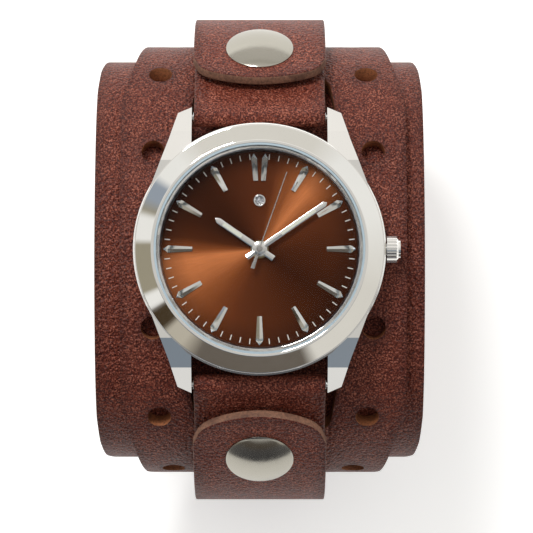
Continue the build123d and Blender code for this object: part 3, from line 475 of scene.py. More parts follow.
def leather_blank(name, shape, thickness, cutters, seats):
    """A flat piece of leather, grain side up, with cut edges, holes and rounded rims.

    Seats are cut after the rims are rounded, so their own rims stay sharp.
    """
    sizes = bpy.context.scene.cuff_sizes
    near, far = shape.near_end(0.0), shape.far_end(0.0)
    widest = max(shape.half_width(near + (far - near) * sample / WIDTH_SAMPLES)
                 for sample in range(WIDTH_SAMPLES + 1))
    columns = max(FEWEST_CELLS, round(2 * widest / sizes.grid))
    rows = max(FEWEST_CELLS, round((far - near) / sizes.grid))
    blank = added(name, bpy.ops.mesh.primitive_grid_add, x_subdivisions=columns, y_subdivisions=rows, size=2)
    for vertex in blank.data.vertices:
        share = (vertex.co.y + 1) / 2
        x = vertex.co.x * shape.half_width(near + (far - near) * share)
        first, last = shape.near_end(x), shape.far_end(x)
        vertex.co = (x, first + (last - first) * share, 0.0)
    modify(blank, "SOLIDIFY", thickness=thickness, offset=1.0, material_offset_rim=1)
    face_outwards(blank)
    cut_away(blank, cutters)
    modify(blank, "BEVEL", width=sizes.rim_round, segments=RIM_SEGMENTS, limit_method="ANGLE",
           angle_limit=RIM_ANGLE)
    cut_away(blank, seats)
    return blank


def round_cutter(x, along, radius, low, high, stretch=1.0):
    """A cylinder between two heights that punches or sinks a round hole in a flat piece."""
    cutter = added("cutter", bpy.ops.mesh.primitive_cylinder_add, vertices=HOLE_SIDES, radius=radius,
                   depth=high - low, location=(x, along, (low + high) / 2), scale=(1.0, stretch, 1.0))
    settle(cutter)
    return cutter


def slot_cutter(near, far, near_half, far_half, thickness):
    """A tapered block with round corners that cuts a slot, wider at its near end."""
    cutter = added("cutter", bpy.ops.mesh.primitive_cube_add, size=2)
    for vertex in cutter.data.vertices:
        at_far = vertex.co.y > 0
        half = far_half if at_far else near_half
        vertex.co = (vertex.co.x * half, far if at_far else near, vertex.co.z * 2 * thickness)
    pick(cutter)
    bpy.ops.object.mode_set(mode="EDIT")
    bpy.ops.mesh.select_all(action="DESELECT")
    bpy.ops.object.mode_set(mode="OBJECT")
    reach = max(abs(near), abs(far))
    for edge in cutter.data.edges:
        a, b = (cutter.data.vertices[i].co for i in edge.vertices)
        edge.select = abs(a.z - b.z) > thickness and abs(abs(a.y) - reach) < thickness / 2
    bpy.ops.object.mode_set(mode="EDIT")
    bpy.ops.mesh.bevel(offset=far_half * SLOT_CORNER_SHARE, segments=SLOT_SEGMENTS)
    bpy.ops.object.mode_set(mode="OBJECT")
    face_outwards(cutter)
    return cutter


def finish_leather(piece, shape, finish, edge):
    """Mark how near a flat piece's points lie to a cut edge, and finish its three kinds of face."""
    mark = piece.data.attributes.new("edge", "FLOAT", "POINT")
    mark.data.foreach_set("value", [
        max(0.0, 1 - max(shape.distance(vertex.co.x, vertex.co.y), 0.0) / EDGE_SHADE)
        for vertex in piece.data.vertices])
    paint(piece, *(bpy.data.materials[name] for name in (finish, edge, "flesh side")))
    for polygon in piece.data.polygons:
        polygon.material_index = EDGE_FACE
        if polygon.normal.z < FLESH_SLOPE:
            polygon.material_index = FLESH_FACE
        elif polygon.normal.z > GRAIN_SLOPE:
            polygon.material_index = GRAIN_FACE


def lay(piece, shape):
    """Lay a flat piece in its place: x, the length along and the lift give each point."""
    for vertex in piece.data.vertices:
        vertex.co = shape.place(*vertex.co)
    face_outwards(piece)
    smooth(piece)


def leather_piece(name, shape, thickness, finish, slot, *nodes, cutters=(), seats=(), edge="cut edge"):
    """Cut, finish and lay a piece of leather, and name its slot and the nodes it stands for."""
    piece = leather_blank(name, shape, thickness, cutters, seats)
    finish_leather(piece, shape, finish, edge)
    lay(piece, shape)
    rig.slot(piece, slot)
    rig.replaces(piece, *nodes)
    return piece


class Nodes:
    """Short calls that add and link the nodes of one material, group or world."""

    def __init__(self, tree):
        self.tree = tree
        tree.nodes.clear()

    def add(self, kind, inputs=None, **settings):
        """Add a node with its settings, and set or link its inputs by name or number."""
        node = self.tree.nodes.new(kind)
        for name, value in settings.items():
            setattr(node, name, value)
        for key, value in (inputs or {}).items():
            self.feed(node.inputs[key], value)
        return node

    def feed(self, socket, value):
        """Link an output to a socket, or set the socket's own value."""
        if isinstance(value, bpy.types.NodeSocket):
            self.tree.links.new(value, socket)
        elif socket.type == "RGBA":
            socket.default_value = (*value, 1.0)
        else:
            socket.default_value = value

    def math(self, operation, *values, clamp=False):
        """A sum of up to three values."""
        node = self.add("ShaderNodeMath", dict(enumerate(values)), operation=operation, use_clamp=clamp)
        return node.outputs[0]

    def noise(self, place, scale, detail=3.0, roughness=0.55):
        """Even grey noise."""
        node = self.add("ShaderNodeTexNoise", {
            "Vector": place, "Scale": scale, "Detail": detail, "Roughness": roughness})
        return node.outputs["Fac"]

    def spread(self, value, low, high, to_low=0.0, to_high=1.0):
        """A value moved from one range to another, and kept in it."""
        node = self.add("ShaderNodeMapRange", {
            "Value": value, "From Min": low, "From Max": high, "To Min": to_low, "To Max": to_high},
            clamp=True)
        return node.outputs["Result"]

    def mix(self, share, first, second):
        """Two colours mixed."""
        node = self.add("ShaderNodeMix", data_type="RGBA")
        self.feed(node.inputs["Factor"], share)
        colours = [socket for socket in node.inputs if socket.type == "RGBA"]
        self.feed(colours[0], first)
        self.feed(colours[1], second)
        return [socket for socket in node.outputs if socket.type == "RGBA"][0]

    def ramp(self, value, stops):
        """A value turned into a colour by stops of (place, colour)."""
        node = self.add("ShaderNodeValToRGB", {"Fac": value})
        elements = node.color_ramp.elements
        while len(elements) < len(stops):
            elements.new(0.5)
        for element, (place, colour) in zip(elements, stops):
            element.position = place
            element.color = (*colour, 1.0)
        return node.outputs["Color"]


class Finish(Nodes):
    """The nodes of one new material, with its Principled shader."""

    def __init__(self, name):
        self.material = bpy.data.materials.new(name)
        self.material.use_nodes = True
        super().__init__(self.material.node_tree)
        self.shader = self.add("ShaderNodeBsdfPrincipled")
        self.add("ShaderNodeOutputMaterial", {"Surface": self.shader.outputs[0]})

    def shade(self, **inputs):
        """Set or link the shader's inputs, named with underscores for spaces."""
        for key, value in inputs.items():
            self.feed(self.shader.inputs[key.replace("_", " ")], value)

    def place(self, middle=None):
        """The place on a piece, in metres, from its own or a chosen middle."""
        source = self.add("ShaderNodeTexCoord").outputs["Object"]
        if middle is None:
            return source
        return self.add("ShaderNodeVectorMath", {0: source, 1: middle}, operation="SUBTRACT").outputs[0]

    def bump(self, height, distance):
        """Feed the shader's normal from a height."""
        node = self.add("ShaderNodeBump", {"Strength": 1.0, "Distance": distance, "Height": height})
        self.shade(Normal=node.outputs["Normal"])


def scaled(colour, share):
    """A colour made darker or brighter."""
    return tuple(part * share for part in colour)


COLOUR, VALUE, PLACE = "NodeSocketColor", "NodeSocketFloat", "NodeSocketVector"
GRAIN_INPUTS = {"Place": PLACE, "Near edge": VALUE, "Pebble scale": VALUE,
                "Grain": COLOUR, "Worn": COLOUR, "Pore": COLOUR}
GRAIN_OUTPUTS = {"Colour": COLOUR, "Roughness": VALUE, "Height": VALUE}


def grain_group():
    """Pebbled leather: colour, roughness and height from a place and how near a cut edge lies."""
    group = bpy.data.node_groups.new("leather grain", "ShaderNodeTree")
    for direction, sockets in (("INPUT", GRAIN_INPUTS), ("OUTPUT", GRAIN_OUTPUTS)):
        for name, kind in sockets.items():
            group.interface.new_socket(name=name, in_out=direction, socket_type=kind)
    nodes = Nodes(group)
    place, near, scale, grain, worn, pore = list(nodes.add("NodeGroupInput").outputs)[:6]
    cells = nodes.add("ShaderNodeTexVoronoi", {
        "Vector": place, "Scale": scale, "Randomness": 1.0}, feature="SMOOTH_F1")
    pebble = nodes.spread(cells.outputs["Distance"], 0.15, 0.65, 1.0, 0.0)
    fine = nodes.noise(place, nodes.math("MULTIPLY", scale, 1.8), detail=2.0, roughness=0.6)
    mottle = nodes.noise(place, nodes.math("MULTIPLY", scale, 0.16), detail=4.0, roughness=0.62)
    broad = nodes.noise(place, nodes.math("MULTIPLY", scale, 0.035), roughness=0.5)
    patches = nodes.spread(mottle, 0.30, 0.62, 0.35, 1.0)
    # Painted highlight: pale specks from the fine noise, thicker in patches, with a faint broad pale tone, painted in
    # as the grain's glints
    glinting = nodes.math("MULTIPLY", nodes.spread(fine, 0.53, 0.63), patches)
    glinting = nodes.math("MULTIPLY_ADD", nodes.spread(broad, 0.4, 0.65), 0.08, glinting, clamp=True)
    colour = nodes.mix(glinting, grain, worn)
    colour = nodes.mix(nodes.math("MULTIPLY", nodes.spread(fine, 0.48, 0.40), 0.85), colour, pore)
    edge = nodes.math("POWER", near, 1.6)
    edge = nodes.math("MULTIPLY", edge, nodes.spread(mottle, 0.25, 0.75, 0.25, 0.70))
    gloss = nodes.math("MULTIPLY_ADD", fine, 0.12, nodes.spread(mottle, 0.3, 0.7, 0.34, 0.46))
    height = nodes.math("MULTIPLY_ADD", mottle, 0.7, nodes.math("MULTIPLY_ADD", fine, 0.9, pebble))
    nodes.add("NodeGroupOutput", {
        "Colour": nodes.mix(edge, colour, pore), "Roughness": gloss, "Height": height})


def leather_material(name, brightness):
    """Dyed leather with a pebbled grain, darker towards its cut edges."""
    look = bpy.context.scene.leather_look
    finish = Finish(name)
    near = finish.add("ShaderNodeAttribute", attribute_name="edge", attribute_type="GEOMETRY")
    group = finish.add("ShaderNodeGroup", {
        "Place": finish.place(), "Near edge": near.outputs["Fac"], "Pebble scale": 1 / look.pebble,
        "Grain": scaled(look.grain, brightness), "Worn": scaled(look.worn, brightness), "Pore": look.pore},
        node_tree=bpy.data.node_groups["leather grain"])
    finish.shade(Base_Color=group.outputs["Colour"], Roughness=group.outputs["Roughness"],
                 Specular_IOR_Level=0.22)
    finish.bump(group.outputs["Height"], look.grain_depth)


def cut_edge_material(name, raw):
    """The raw, lightly burnished cut edge of thick leather, in a colour."""
    finish = Finish(name)
    place = finish.place()
    fibres = finish.noise(place, scale=2600.0, detail=4.0, roughness=0.7)
    broad = finish.noise(place, scale=300.0, detail=2.0)
    colour = finish.mix(finish.spread(fibres, 0.35, 0.6), scaled(raw, 0.4), raw)
    stain = finish.spread(broad, 0.5, 0.7, 0.0, 0.5)
    finish.shade(Base_Color=finish.mix(stain, colour, bpy.context.scene.leather_look.pore),
                 Roughness=finish.spread(fibres, 0.3, 0.7, 0.6, 0.85))
    finish.bump(fibres, 0.08 * MM)


def suede_material(name, raw):
    """The raw flesh side of the leather, in a colour."""
    finish = Finish(name)
    place = finish.place()
    nap = finish.noise(place, scale=1500.0, detail=5.0, roughness=0.75)
    patch = finish.noise(place, scale=120.0, detail=3.0)
    colour = finish.mix(finish.spread(patch, 0.35, 0.65), scaled(raw, 0.7), raw)
    finish.shade(Base_Color=finish.mix(finish.spread(nap, 0.55, 0.35, 0.0, 0.6), colour, scaled(raw, 0.4)),
                 Roughness=0.92, Sheen_Weight=0.25)
    finish.bump(nap, 0.10 * MM)


def metal_material(name, colour, roughness, grain=0.0):
    """Metal with faint polishing marks, which grain makes deeper."""
    finish = Finish(name)
    place = finish.place()
    marks = finish.noise(place, scale=900.0, detail=4.0, roughness=0.6)
    broad = finish.noise(place, scale=90.0, detail=2.0)
    finish.shade(Base_Color=finish.mix(finish.spread(broad, 0.3, 0.7), scaled(colour, 0.96), colour),
                 Roughness=finish.spread(marks, 0.3, 0.7, roughness * 0.8, roughness * 1.25),
                 Metallic=1.0)
    if grain:
        finish.bump(marks, grain)


def plain_material(name, colour, roughness):
    """A moulded or lacquered finish with slight unevenness."""
    finish = Finish(name)
    marks = finish.noise(finish.place(), scale=700.0)
    finish.shade(Base_Color=finish.mix(finish.spread(marks, 0.3, 0.7), scaled(colour, 0.92), colour),
                 Roughness=finish.spread(marks, 0.3, 0.7, roughness * 0.9, roughness * 1.1))


# Painted reflection: these browns, set round the dial by the ramp below, paint the sunray's two bright fans and its
# darker sectors into the colour
AMBER, BRIGHT, MIDDLE = (0.26, 0.070, 0.018), (0.72, 0.235, 0.080), (0.13, 0.032, 0.009)
BROWN, DARK, SHADE = (0.085, 0.020, 0.005), (0.045, 0.010, 0.0024), (0.020, 0.004, 0.001)
DIAL_RIM = (0.020, 0.006, 0.003)
PAINTED_RAY_SHEEN = (
    (0.000, AMBER), (0.022, BRIGHT), (0.055, (0.62, 0.20, 0.066)), (0.105, (0.34, 0.10, 0.029)),
    (0.145, (0.22, 0.058, 0.015)), (0.20, MIDDLE), (0.30, BROWN), (0.40, DARK), (0.50, (0.075, 0.018, 0.005)),
    (0.58, MIDDLE), (0.610, (0.40, 0.12, 0.035)), (0.640, BRIGHT), (0.675, (0.40, 0.12, 0.036)),
    (0.72, MIDDLE), (0.78, (0.10, 0.024, 0.007)), (0.86, DARK), (0.93, DARK), (0.975, BROWN), (1.000, AMBER))


def dial_material(name):
    """Brown sunray lacquer: brushed rays, with two bright fans and darker sectors painted into the colour as the rays'
    reflection, and darker towards the rim.
    """
    finish = Finish(name)
    place = finish.place((HEAD_X, 0, DIAL_HIGH.z))
    x, y, _ = finish.add("ShaderNodeSeparateXYZ", {0: place}).outputs
    angle = finish.math("ARCTAN2", y, x)
    turn = finish.math("MULTIPLY_ADD", angle, 1 / (2 * pi), 0.5, clamp=True)
    squares = (finish.math("MULTIPLY", part, part) for part in (x, y))
    radius = finish.math("SQRT", finish.math("ADD", *squares))
    parts = finish.math("COSINE", angle), finish.math("SINE", angle), finish.math("MULTIPLY", radius, 6.0)
    circle = finish.add("ShaderNodeCombineXYZ", dict(enumerate(parts)))
    streaks = finish.noise(circle.outputs[0], scale=60.0, detail=5.0, roughness=0.75)
    # The ramp paints the sunray's reflection into the colour by the angle round the dial; the dial has no shine of its
    # own
    colour = finish.mix(finish.spread(streaks, 0.35, 0.65, 0.0, 0.25), finish.ramp(turn, PAINTED_RAY_SHEEN), SHADE)
    reach = finish.math("DIVIDE", radius, (DIAL_HIGH.x - DIAL_LOW.x) / 2)
    finish.shade(Base_Color=finish.mix(finish.spread(reach, 0.72, 0.98, 0.0, 0.62), colour, DIAL_RIM),
                 Roughness=finish.spread(streaks, 0.3, 0.7, 0.34, 0.48), Specular_IOR_Level=0.0)


def crystal_material(name):
    """Clear glass that lets light through to the dial."""
    finish = Finish(name)
    haze = finish.noise(finish.place(), scale=200.0, detail=2.0)
    finish.shade(Base_Color=(0.02, 0.02, 0.02), Alpha=0.06,
                 Roughness=finish.spread(haze, 0.2, 0.8, 0.01, 0.03))


def stone_material(name):
    """A bright cut stone over its foil."""
    finish = Finish(name)
    sparkle = finish.noise(finish.place(), scale=3000.0, detail=2.0)
    colour = finish.mix(finish.spread(sparkle, 0.4, 0.6), (0.35, 0.37, 0.40), (0.95, 0.96, 1.0))
    finish.shade(Base_Color=colour, Metallic=0.8, Roughness=0.06, Coat_Weight=1.0)


# Metals: colour, roughness and depth of the polishing marks
METALS = {
    "polished steel": ((0.86, 0.845, 0.81), 0.045),
    # The caps' steel is much darker than the bezel's: painted shade standing for the caps' dim reflections
    "cap steel": ((0.39, 0.37, 0.32), 0.16),
    "satin steel": ((0.62, 0.62, 0.61), 0.32, 0.01 * MM),
    "hand steel": ((0.80, 0.79, 0.76), 0.10),
    "second steel": ((0.45, 0.43, 0.41), 0.25),
    "brass": ((0.72, 0.52, 0.22), 0.28, 0.01 * MM),
    "copper wire": ((0.60, 0.24, 0.11), 0.30, 0.03 * MM),
    "flange silver": ((0.44, 0.50, 0.56), 0.3),
}
# Moulded and lacquered finishes: colour and roughness
PLAINS = {
    "crystal seal": ((0.40, 0.50, 0.56), 0.5),
    "black rubber": ((0.02, 0.02, 0.02), 0.75),
    "movement plastic": ((0.75, 0.75, 0.72), 0.5),
    "circuit green": ((0.03, 0.16, 0.07), 0.4),
    "luminous fill": ((0.78, 0.80, 0.68), 0.5),
    "dial print": ((0.82, 0.78, 0.72), 0.45),
}


def make_materials():
    """Make every finish of the watch once."""
    look = bpy.context.scene.leather_look
    grain_group()
    leather_material("band leather", 1.0)
    # The straps' leather is the band leather made 1.12 times brighter: painted light for the straps' brighter
    # highlights
    leather_material("strap leather", 1.12)
    cut_edge_material("cut edge", look.cut_edge)
    # The overlay's hole walls and cut edges: raw brown made warmer and brighter, partly painted light for the lit hole
    # walls
    cut_edge_material("hole wall", look.hole_wall)
    suede_material("flesh side", look.suede)
    for name, values in METALS.items():
        metal_material(name, *values)
    for name, values in PLAINS.items():
        plain_material(name, *values)
    dial_material("sunray dial")
    crystal_material("clear crystal")
    stone_material("cut stone")


FINISHES = {
    "polished steel": ("mid_case", "bezel", "caseback", "crown", "stone_setting"),
    "cap steel": ("upper_snap_cap", "lower_snap_cap"),
    "hand steel": ("hour_markers", "hour_hand", "minute_hand", "second_hand"),
    "satin steel": ("upper_snap_socket", "lower_snap_socket", "snap_studs", "snap_posts", "spring_bars",
                    "stem", "case_tube", "setting_lever", "bridge_screws", "battery", "battery_clamp",
                    "quartz_can", "stator", "rotor", "train_bridge"),
    "brass": ("main_plate", "intermediate_wheel", "second_wheel", "third_wheel", "centre_wheel",
              "minute_wheel", "hour_wheel"),
    "copper wire": ("coil",),
    "flange silver": ("rehaut_ring",),
    "crystal seal": ("crystal_gasket",),
    "black rubber": ("caseback_gasket", "crown_gasket"),
    "movement plastic": ("movement_holder",),
    "circuit green": ("circuit_board",),
    "luminous fill": ("hour_lume", "minute_lume"),
    "sunray dial": ("dial",),
    "clear crystal": ("crystal", "stone"),
}


class CUFF_OT_finishes(bpy.types.Operator):
    """Make the finishes and give each node of the frame its own"""

    bl_idname = "cuff.finishes"
    bl_label = "Finishes"

    def execute(self, context):
        make_materials()
        for finish, nodes in FINISHES.items():
            for node in nodes:
                paint(frame["nodes"][node], bpy.data.materials[finish])
        return {"FINISHED"}


class Band:
    """Shape of a band of leather round the oval, alike above and below the head.

    Its widths are rows of an angle round the oval's side, in degrees, and a half width in mm.
    """

    def __init__(self, lift, thickness, middle, widths, end_angle, corner):
        self.oval, self.lift, self.thickness = Oval(), lift, thickness
        self.middle, self.corner = middle, corner
        self.rows = [(self.oval.along(lift, radians(angle)), width * MM) for angle, width in widths]
        self.length = self.oval.along(lift, end_angle)
        self.end_half = self.half_width(self.length)
        self.route = self.oval.band(lift)

    def half_width(self, along):
        """Half its width at a length from its top."""
        return between(self.rows, abs(along))

    def far_end(self, x):
        """Length at which it ends on the side of 12 o'clock, at a place across it."""
        return self.length - corner_drop(x, self.end_half, self.corner)

    def near_end(self, x):
        """Length at which it ends on the side of 6 o'clock."""
        return -self.far_end(x)

    def distance(self, x, along):
        """How far a point of it lies from a cut edge."""
        return min(self.half_width(along) - abs(x), self.far_end(x) - abs(along))

    def place(self, x, along, height):
        """Where a point of the flat piece lies on the watch."""
        y, up = self.route.at(abs(along), height - self.thickness)
        return self.middle + x, y if along >= 0 else -y, up


BASE_WIDTHS = ((50.5, 27.2), (70.0, 26.9), (90.0, 26.2), (110.0, 23.4), (128.0, 19.6))
RIVET_HEAD, RIVET_SINK = 3.25 * MM, 0.5 * MM


class CUFF_OT_base_band(bpy.types.Operator):
    """Add the wide band that lies on the wrist"""

    bl_idname = "cuff.base_band"
    bl_label = "Base Band"

    def execute(self, context):
        sizes = context.scene.cuff_sizes
        thickness = sizes.base_thickness
        shape = Band(0.0, thickness, BASE_X, BASE_WIDTHS, sizes.base_end, sizes.base_corner)
        snap = shape.oval.along(0.0, shape.oval.fall)
        stretch = sizes.side_radius / (sizes.side_radius - thickness)
        seats = [round_cutter(0.0, side * snap, RIVET_HEAD, -thickness, RIVET_SINK, stretch)
                 for side in (1, -1)]
        band = leather_piece("base_leather", shape, thickness, "band leather", "base_leather", "base_band",
                             seats=seats)
        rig.ride(band, "case")
        return {"FINISHED"}


OVERLAY_WIDTHS = ((35.6, 23.5), (60.8, 21.5), (90.0, 19.8), (118.5, 14.5))
SIDE_HOLES = ((17.2, 42.4), (15.2, 80.0))
TOP_HOLE_X, TOP_HOLE_Y = 18.1 * MM, 14.5 * MM
WINDOW_ROOT_Y, WINDOW_END_Y = 13.0 * MM, 28.53 * MM
SLOT_SHADE = 0.2 * MM


class Overlay(Band):
    """Shape of the overlay band, with its holes and the slots of its window."""

    def __init__(self, sizes):
        oval = Oval()
        lift = oval.overlay_lift
        super().__init__(lift, sizes.overlay_thickness, OVERLAY_X, OVERLAY_WIDTHS, sizes.overlay_end,
                         sizes.overlay_corner)
        self.sizes = sizes
        top_radius = oval.top_radius + lift
        holes = [(TOP_HOLE_X, top_radius * asin(TOP_HOLE_Y / top_radius))]
        holes += [(x * MM, oval.along(lift, radians(angle))) for x, angle in SIDE_HOLES]
        self.holes = [(hand * x, side * along + sizes.hole_shift)
                      for x, along in holes for hand in (1, -1) for side in (1, -1)]
        end_angle = asin((WINDOW_END_Y - oval.side_y) / (sizes.side_radius + lift / 2))
        self.slot_end = oval.along(lift, end_angle)

    def slot_half(self, along):
        """Half the window slot's width at a length from the top."""
        share = (abs(along) - WINDOW_ROOT_Y) / (self.slot_end - WINDOW_ROOT_Y)
        return self.sizes.window_root + (self.sizes.window_end - self.sizes.window_root) * share

    def distance(self, x, along):
        nearest = [super().distance(x, along), abs(hypot(x, along) - self.sizes.window_radius)]
        nearest += [hypot(x - hole_x, along - hole_along) - self.sizes.hole_radius
                    for hole_x, hole_along in self.holes]
        if abs(along) < self.slot_end:
            nearest.append(abs(abs(x) - self.slot_half(along)) + SLOT_SHADE)
        return min(nearest)


class CUFF_OT_overlay_band(bpy.types.Operator):
    """Add the narrower band with its punched holes and its window under the head"""

    bl_idname = "cuff.overlay_band"
    bl_label = "Overlay Band"

    def execute(self, context):
        sizes = context.scene.cuff_sizes
        shape = Overlay(sizes)
        thickness = sizes.overlay_thickness
        low, high = -thickness, 2 * thickness
        cutters = [round_cutter(x, along, sizes.hole_radius, low, high) for x, along in shape.holes]
        cutters.append(round_cutter(0.0, 0.0, sizes.window_radius, low, high))
        cutters += [slot_cutter(side * WINDOW_ROOT_Y, side * shape.slot_end, sizes.window_root,
                                sizes.window_end, thickness) for side in (1, -1)]
        band = leather_piece("overlay_leather", shape, thickness, "band leather", "overlay_leather",
                             "overlay_band", cutters=cutters, edge="hole wall")
        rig.ride(band, "case")
        return {"FINISHED"}


STUD_FLANGE, STUD_SINK = 3.84 * MM, 0.5 * MM
BAR_PLAY, BORE_TURN = 0.08 * MM, radians(40)


class Strip:
    """Shape of an even strip along a route, with the same calls as a band.

    A side of 1 lays it towards 12 o'clock, and -1 towards 6.
    """

    def __init__(self, sizes, side, low, high):
        self.sizes, self.side, self.oval = sizes, side, Oval()
        self.half = (high.x - low.x) / 2

    def half_width(self, along):
        return self.half

    def place(self, x, along, lift):
        y, up = self.route.at(along, lift)
        return HEAD_X + x, self.side * y, up


class LugStrap(Strip):
    """Shape of a lug strap, from its roll round the spring bar to its round-cornered end."""

    def __init__(self, sizes, side):
        super().__init__(sizes, side, STRAP_LOW, STRAP_HIGH)
        oval, radius = self.oval, self.oval.strap_radius
        start = oval.on_side(radius, oval.fall)
        self.run = hypot(start[0] - oval.bar[0], start[1] - oval.bar[1])
        self.bore = (BARS_HIGH.z - BARS_LOW.z) / 2 + BAR_PLAY
        self.reach = radius * (sizes.strap_end_angle - oval.fall)
        self.route = Route(-self.run).run(oval.bar, oval.fall, self.run)
        self.route.arc(oval.side, radius, oval.fall, pi)

    def near_end(self, x):
        return -self.run - pi * self.sizes.strap_thickness

    def far_end(self, x):
        return self.reach - corner_drop(x, self.half, self.sizes.strap_corner)

    def distance(self, x, along):
        return min(self.half - abs(x), self.far_end(x) - along)

    def place(self, x, along, lift):
        if along >= -self.run:
            return super().place(x, along, lift)
        thickness, bar = self.sizes.strap_thickness, self.oval.bar
        turn = (-self.run - along) / thickness
        inner = self.bore * min(turn / BORE_TURN, 1.0)
        reach = inner + lift * (thickness - inner) / thickness
        angle = self.oval.fall - turn
        return HEAD_X + x, self.side * (bar[0] + reach * sin(angle)), bar[1] + reach * cos(angle)


class CUFF_OT_lug_straps(bpy.types.Operator):
    """Add the two short straps, rolled round their spring bars"""

    bl_idname = "cuff.lug_straps"
    bl_label = "Lug Straps"

    def execute(self, context):
        sizes = context.scene.cuff_sizes
        top = sizes.strap_thickness
        for word, side in (("upper", 1), ("lower", -1)):
            shape = LugStrap(sizes, side)
            stud = round_cutter(0.0, 0.0, STUD_FLANGE, top - STUD_SINK, 2 * top)
            strap = leather_piece(f"{word}_strap_leather", shape, top, "strap leather", "strap_leather",
                                  f"{word}_lug_strap", seats=[stud])
            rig.ride(strap, "case")
        return {"FINISHED"}


SOCKET, SOCKET_DEPTH = 4.44 * MM, 1.0 * MM
BACK_LAP = 0.3 * MM


class ClosureHalf(Strip):
    """Shape of half the closure strap, from its flap's round end to the middle of the back."""

    def __init__(self, sizes, side, reach, sagitta):
        super().__init__(sizes, side, CLOSURE_LOW, CLOSURE_HIGH)
        oval, self.reach = self.oval, reach
        self.radius = oval.flap_radius
        snap = oval.on_side(self.radius, oval.fall)
        tip = (snap[0] - reach * cos(oval.fall), snap[1] + reach * sin(oval.fall))
        heel = oval.on_side(self.radius - sizes.heel_radius, sizes.heel_angle)
        self.route = Route(-reach).run(tip, oval.fall, reach)
        self.route.arc(oval.side, self.radius, oval.fall, sizes.heel_angle)
        self.route.arc(heel, sizes.heel_radius, sizes.heel_angle, pi)
        self.route.run((heel[0], heel[1] - sizes.heel_radius), pi, heel[0])
        self.length = sum(part[-1] for part in self.route.parts) - reach
        self.end_radius = (self.half ** 2 + sagitta ** 2) / (2 * sagitta)

    def near_end(self, x):
        bulge = self.end_radius - sqrt(self.end_radius ** 2 - x ** 2)
        return -self.reach + bulge + corner_drop(x, self.half, self.sizes.flap_corner)

    def far_end(self, x):
        return self.length + BACK_LAP

    def distance(self, x, along):
        return min(self.half - abs(x), along - self.near_end(x))

    def fold_end(self, share):
        """End of the bending stretch, half its length on from the fold by a share."""
        fold = self.radius * (self.sizes.hinge_angle - self.oval.fall)
        return self.place(-HEAD_X, fold + share * self.sizes.fold_length / 2, self.sizes.strap_thickness)


class CUFF_OT_closure(bpy.types.Operator):
    """Add the two halves of the closure strap, each with its flap"""

    bl_idname = "cuff.closure"
    bl_label = "Closure Strap and Flaps"

    def execute(self, context):
        sizes = context.scene.cuff_sizes
        thickness = sizes.strap_thickness
        for word, side, reach, sagitta in (("upper", 1, sizes.upper_reach, sizes.upper_sagitta),
                                           ("lower", -1, sizes.lower_reach, sizes.lower_sagitta)):
            shape = ClosureHalf(sizes, side, reach, sagitta)
            socket = round_cutter(0.0, 0.0, SOCKET, -thickness, SOCKET_DEPTH)
            strap = leather_piece(f"{word}_closure_leather", shape, thickness, "strap leather",
                                  "strap_leather", f"{word}_flap", "closure_strap", seats=[socket])
            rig.blend(strap, "case", f"{word}_flap", start=shape.fold_end(1), end=shape.fold_end(-1))
        return {"FINISHED"}


CREASE, RIM_CREASE = radians(30), radians(25)


def lathe(name, profile, steps, rim=0.0):
    """A round piece from a closed outline of (radius, height), with its sharp rims rounded."""
    piece = added(name, bpy.ops.mesh.primitive_circle_add, vertices=len(profile), radius=1)
    for vertex, (radius, height) in zip(piece.data.vertices, profile):
        vertex.co = (radius, 0.0, height)
    modify(piece, "SCREW", angle=2 * pi, steps=steps, render_steps=steps, axis="Z",
           use_merge_vertices=True, merge_threshold=WELD)
    face_outwards(piece)
    if rim:
        modify(piece, "BEVEL", width=rim, segments=2, limit_method="ANGLE", angle_limit=RIM_CREASE)
    return piece


def roof(name, rows, base):
    """A long piece with a ridge on a flat foot.

    Each row gives the place along it, its half width, and the heights of its sides and ridge.
    """
    piece = added(name, bpy.ops.mesh.primitive_grid_add, x_subdivisions=2, y_subdivisions=len(rows) - 1,
                  size=2)
    for vertex in piece.data.vertices:
        column = round(vertex.co.x)
        along, half, side, ridge = rows[round((vertex.co.y + 1) / 2 * (len(rows) - 1))]
        vertex.co = (column * half, along, side if column else ridge)
    plan = [tuple(vertex.co) for vertex in piece.data.vertices]
    modify(piece, "SOLIDIFY", thickness=10 * WELD, offset=-1.0)
    for vertex, (x, along, height) in zip(piece.data.vertices[len(plan):], plan):
        vertex.co = (x, along, base)
    face_outwards(piece)
    return piece


def turned(piece, turn=0.0, middle=(HEAD_X, 0.0, 0.0)):
    """Turn a piece clockwise about the dial's axis, and move its mesh to a middle."""
    for vertex in piece.data.vertices:
        x, y, z = vertex.co
        vertex.co = Vector(middle) + Vector((x * cos(turn) + y * sin(turn), y * cos(turn) - x * sin(turn), z))
    return piece


def seat(piece, body, slot, node, finish, crease=CREASE):
    """Hang a finished piece on its body, with its slot, its finish and the node it stands for."""
    paint(piece, bpy.data.materials[finish])
    smooth(piece, crease)
    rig.slot(piece, slot)
    if node:
        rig.replaces(piece, node)
    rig.ride(piece, body)


BEZEL_STEPS, BEZEL_RIM, BEZEL_CREASE = 192, 0.05 * MM, radians(6)


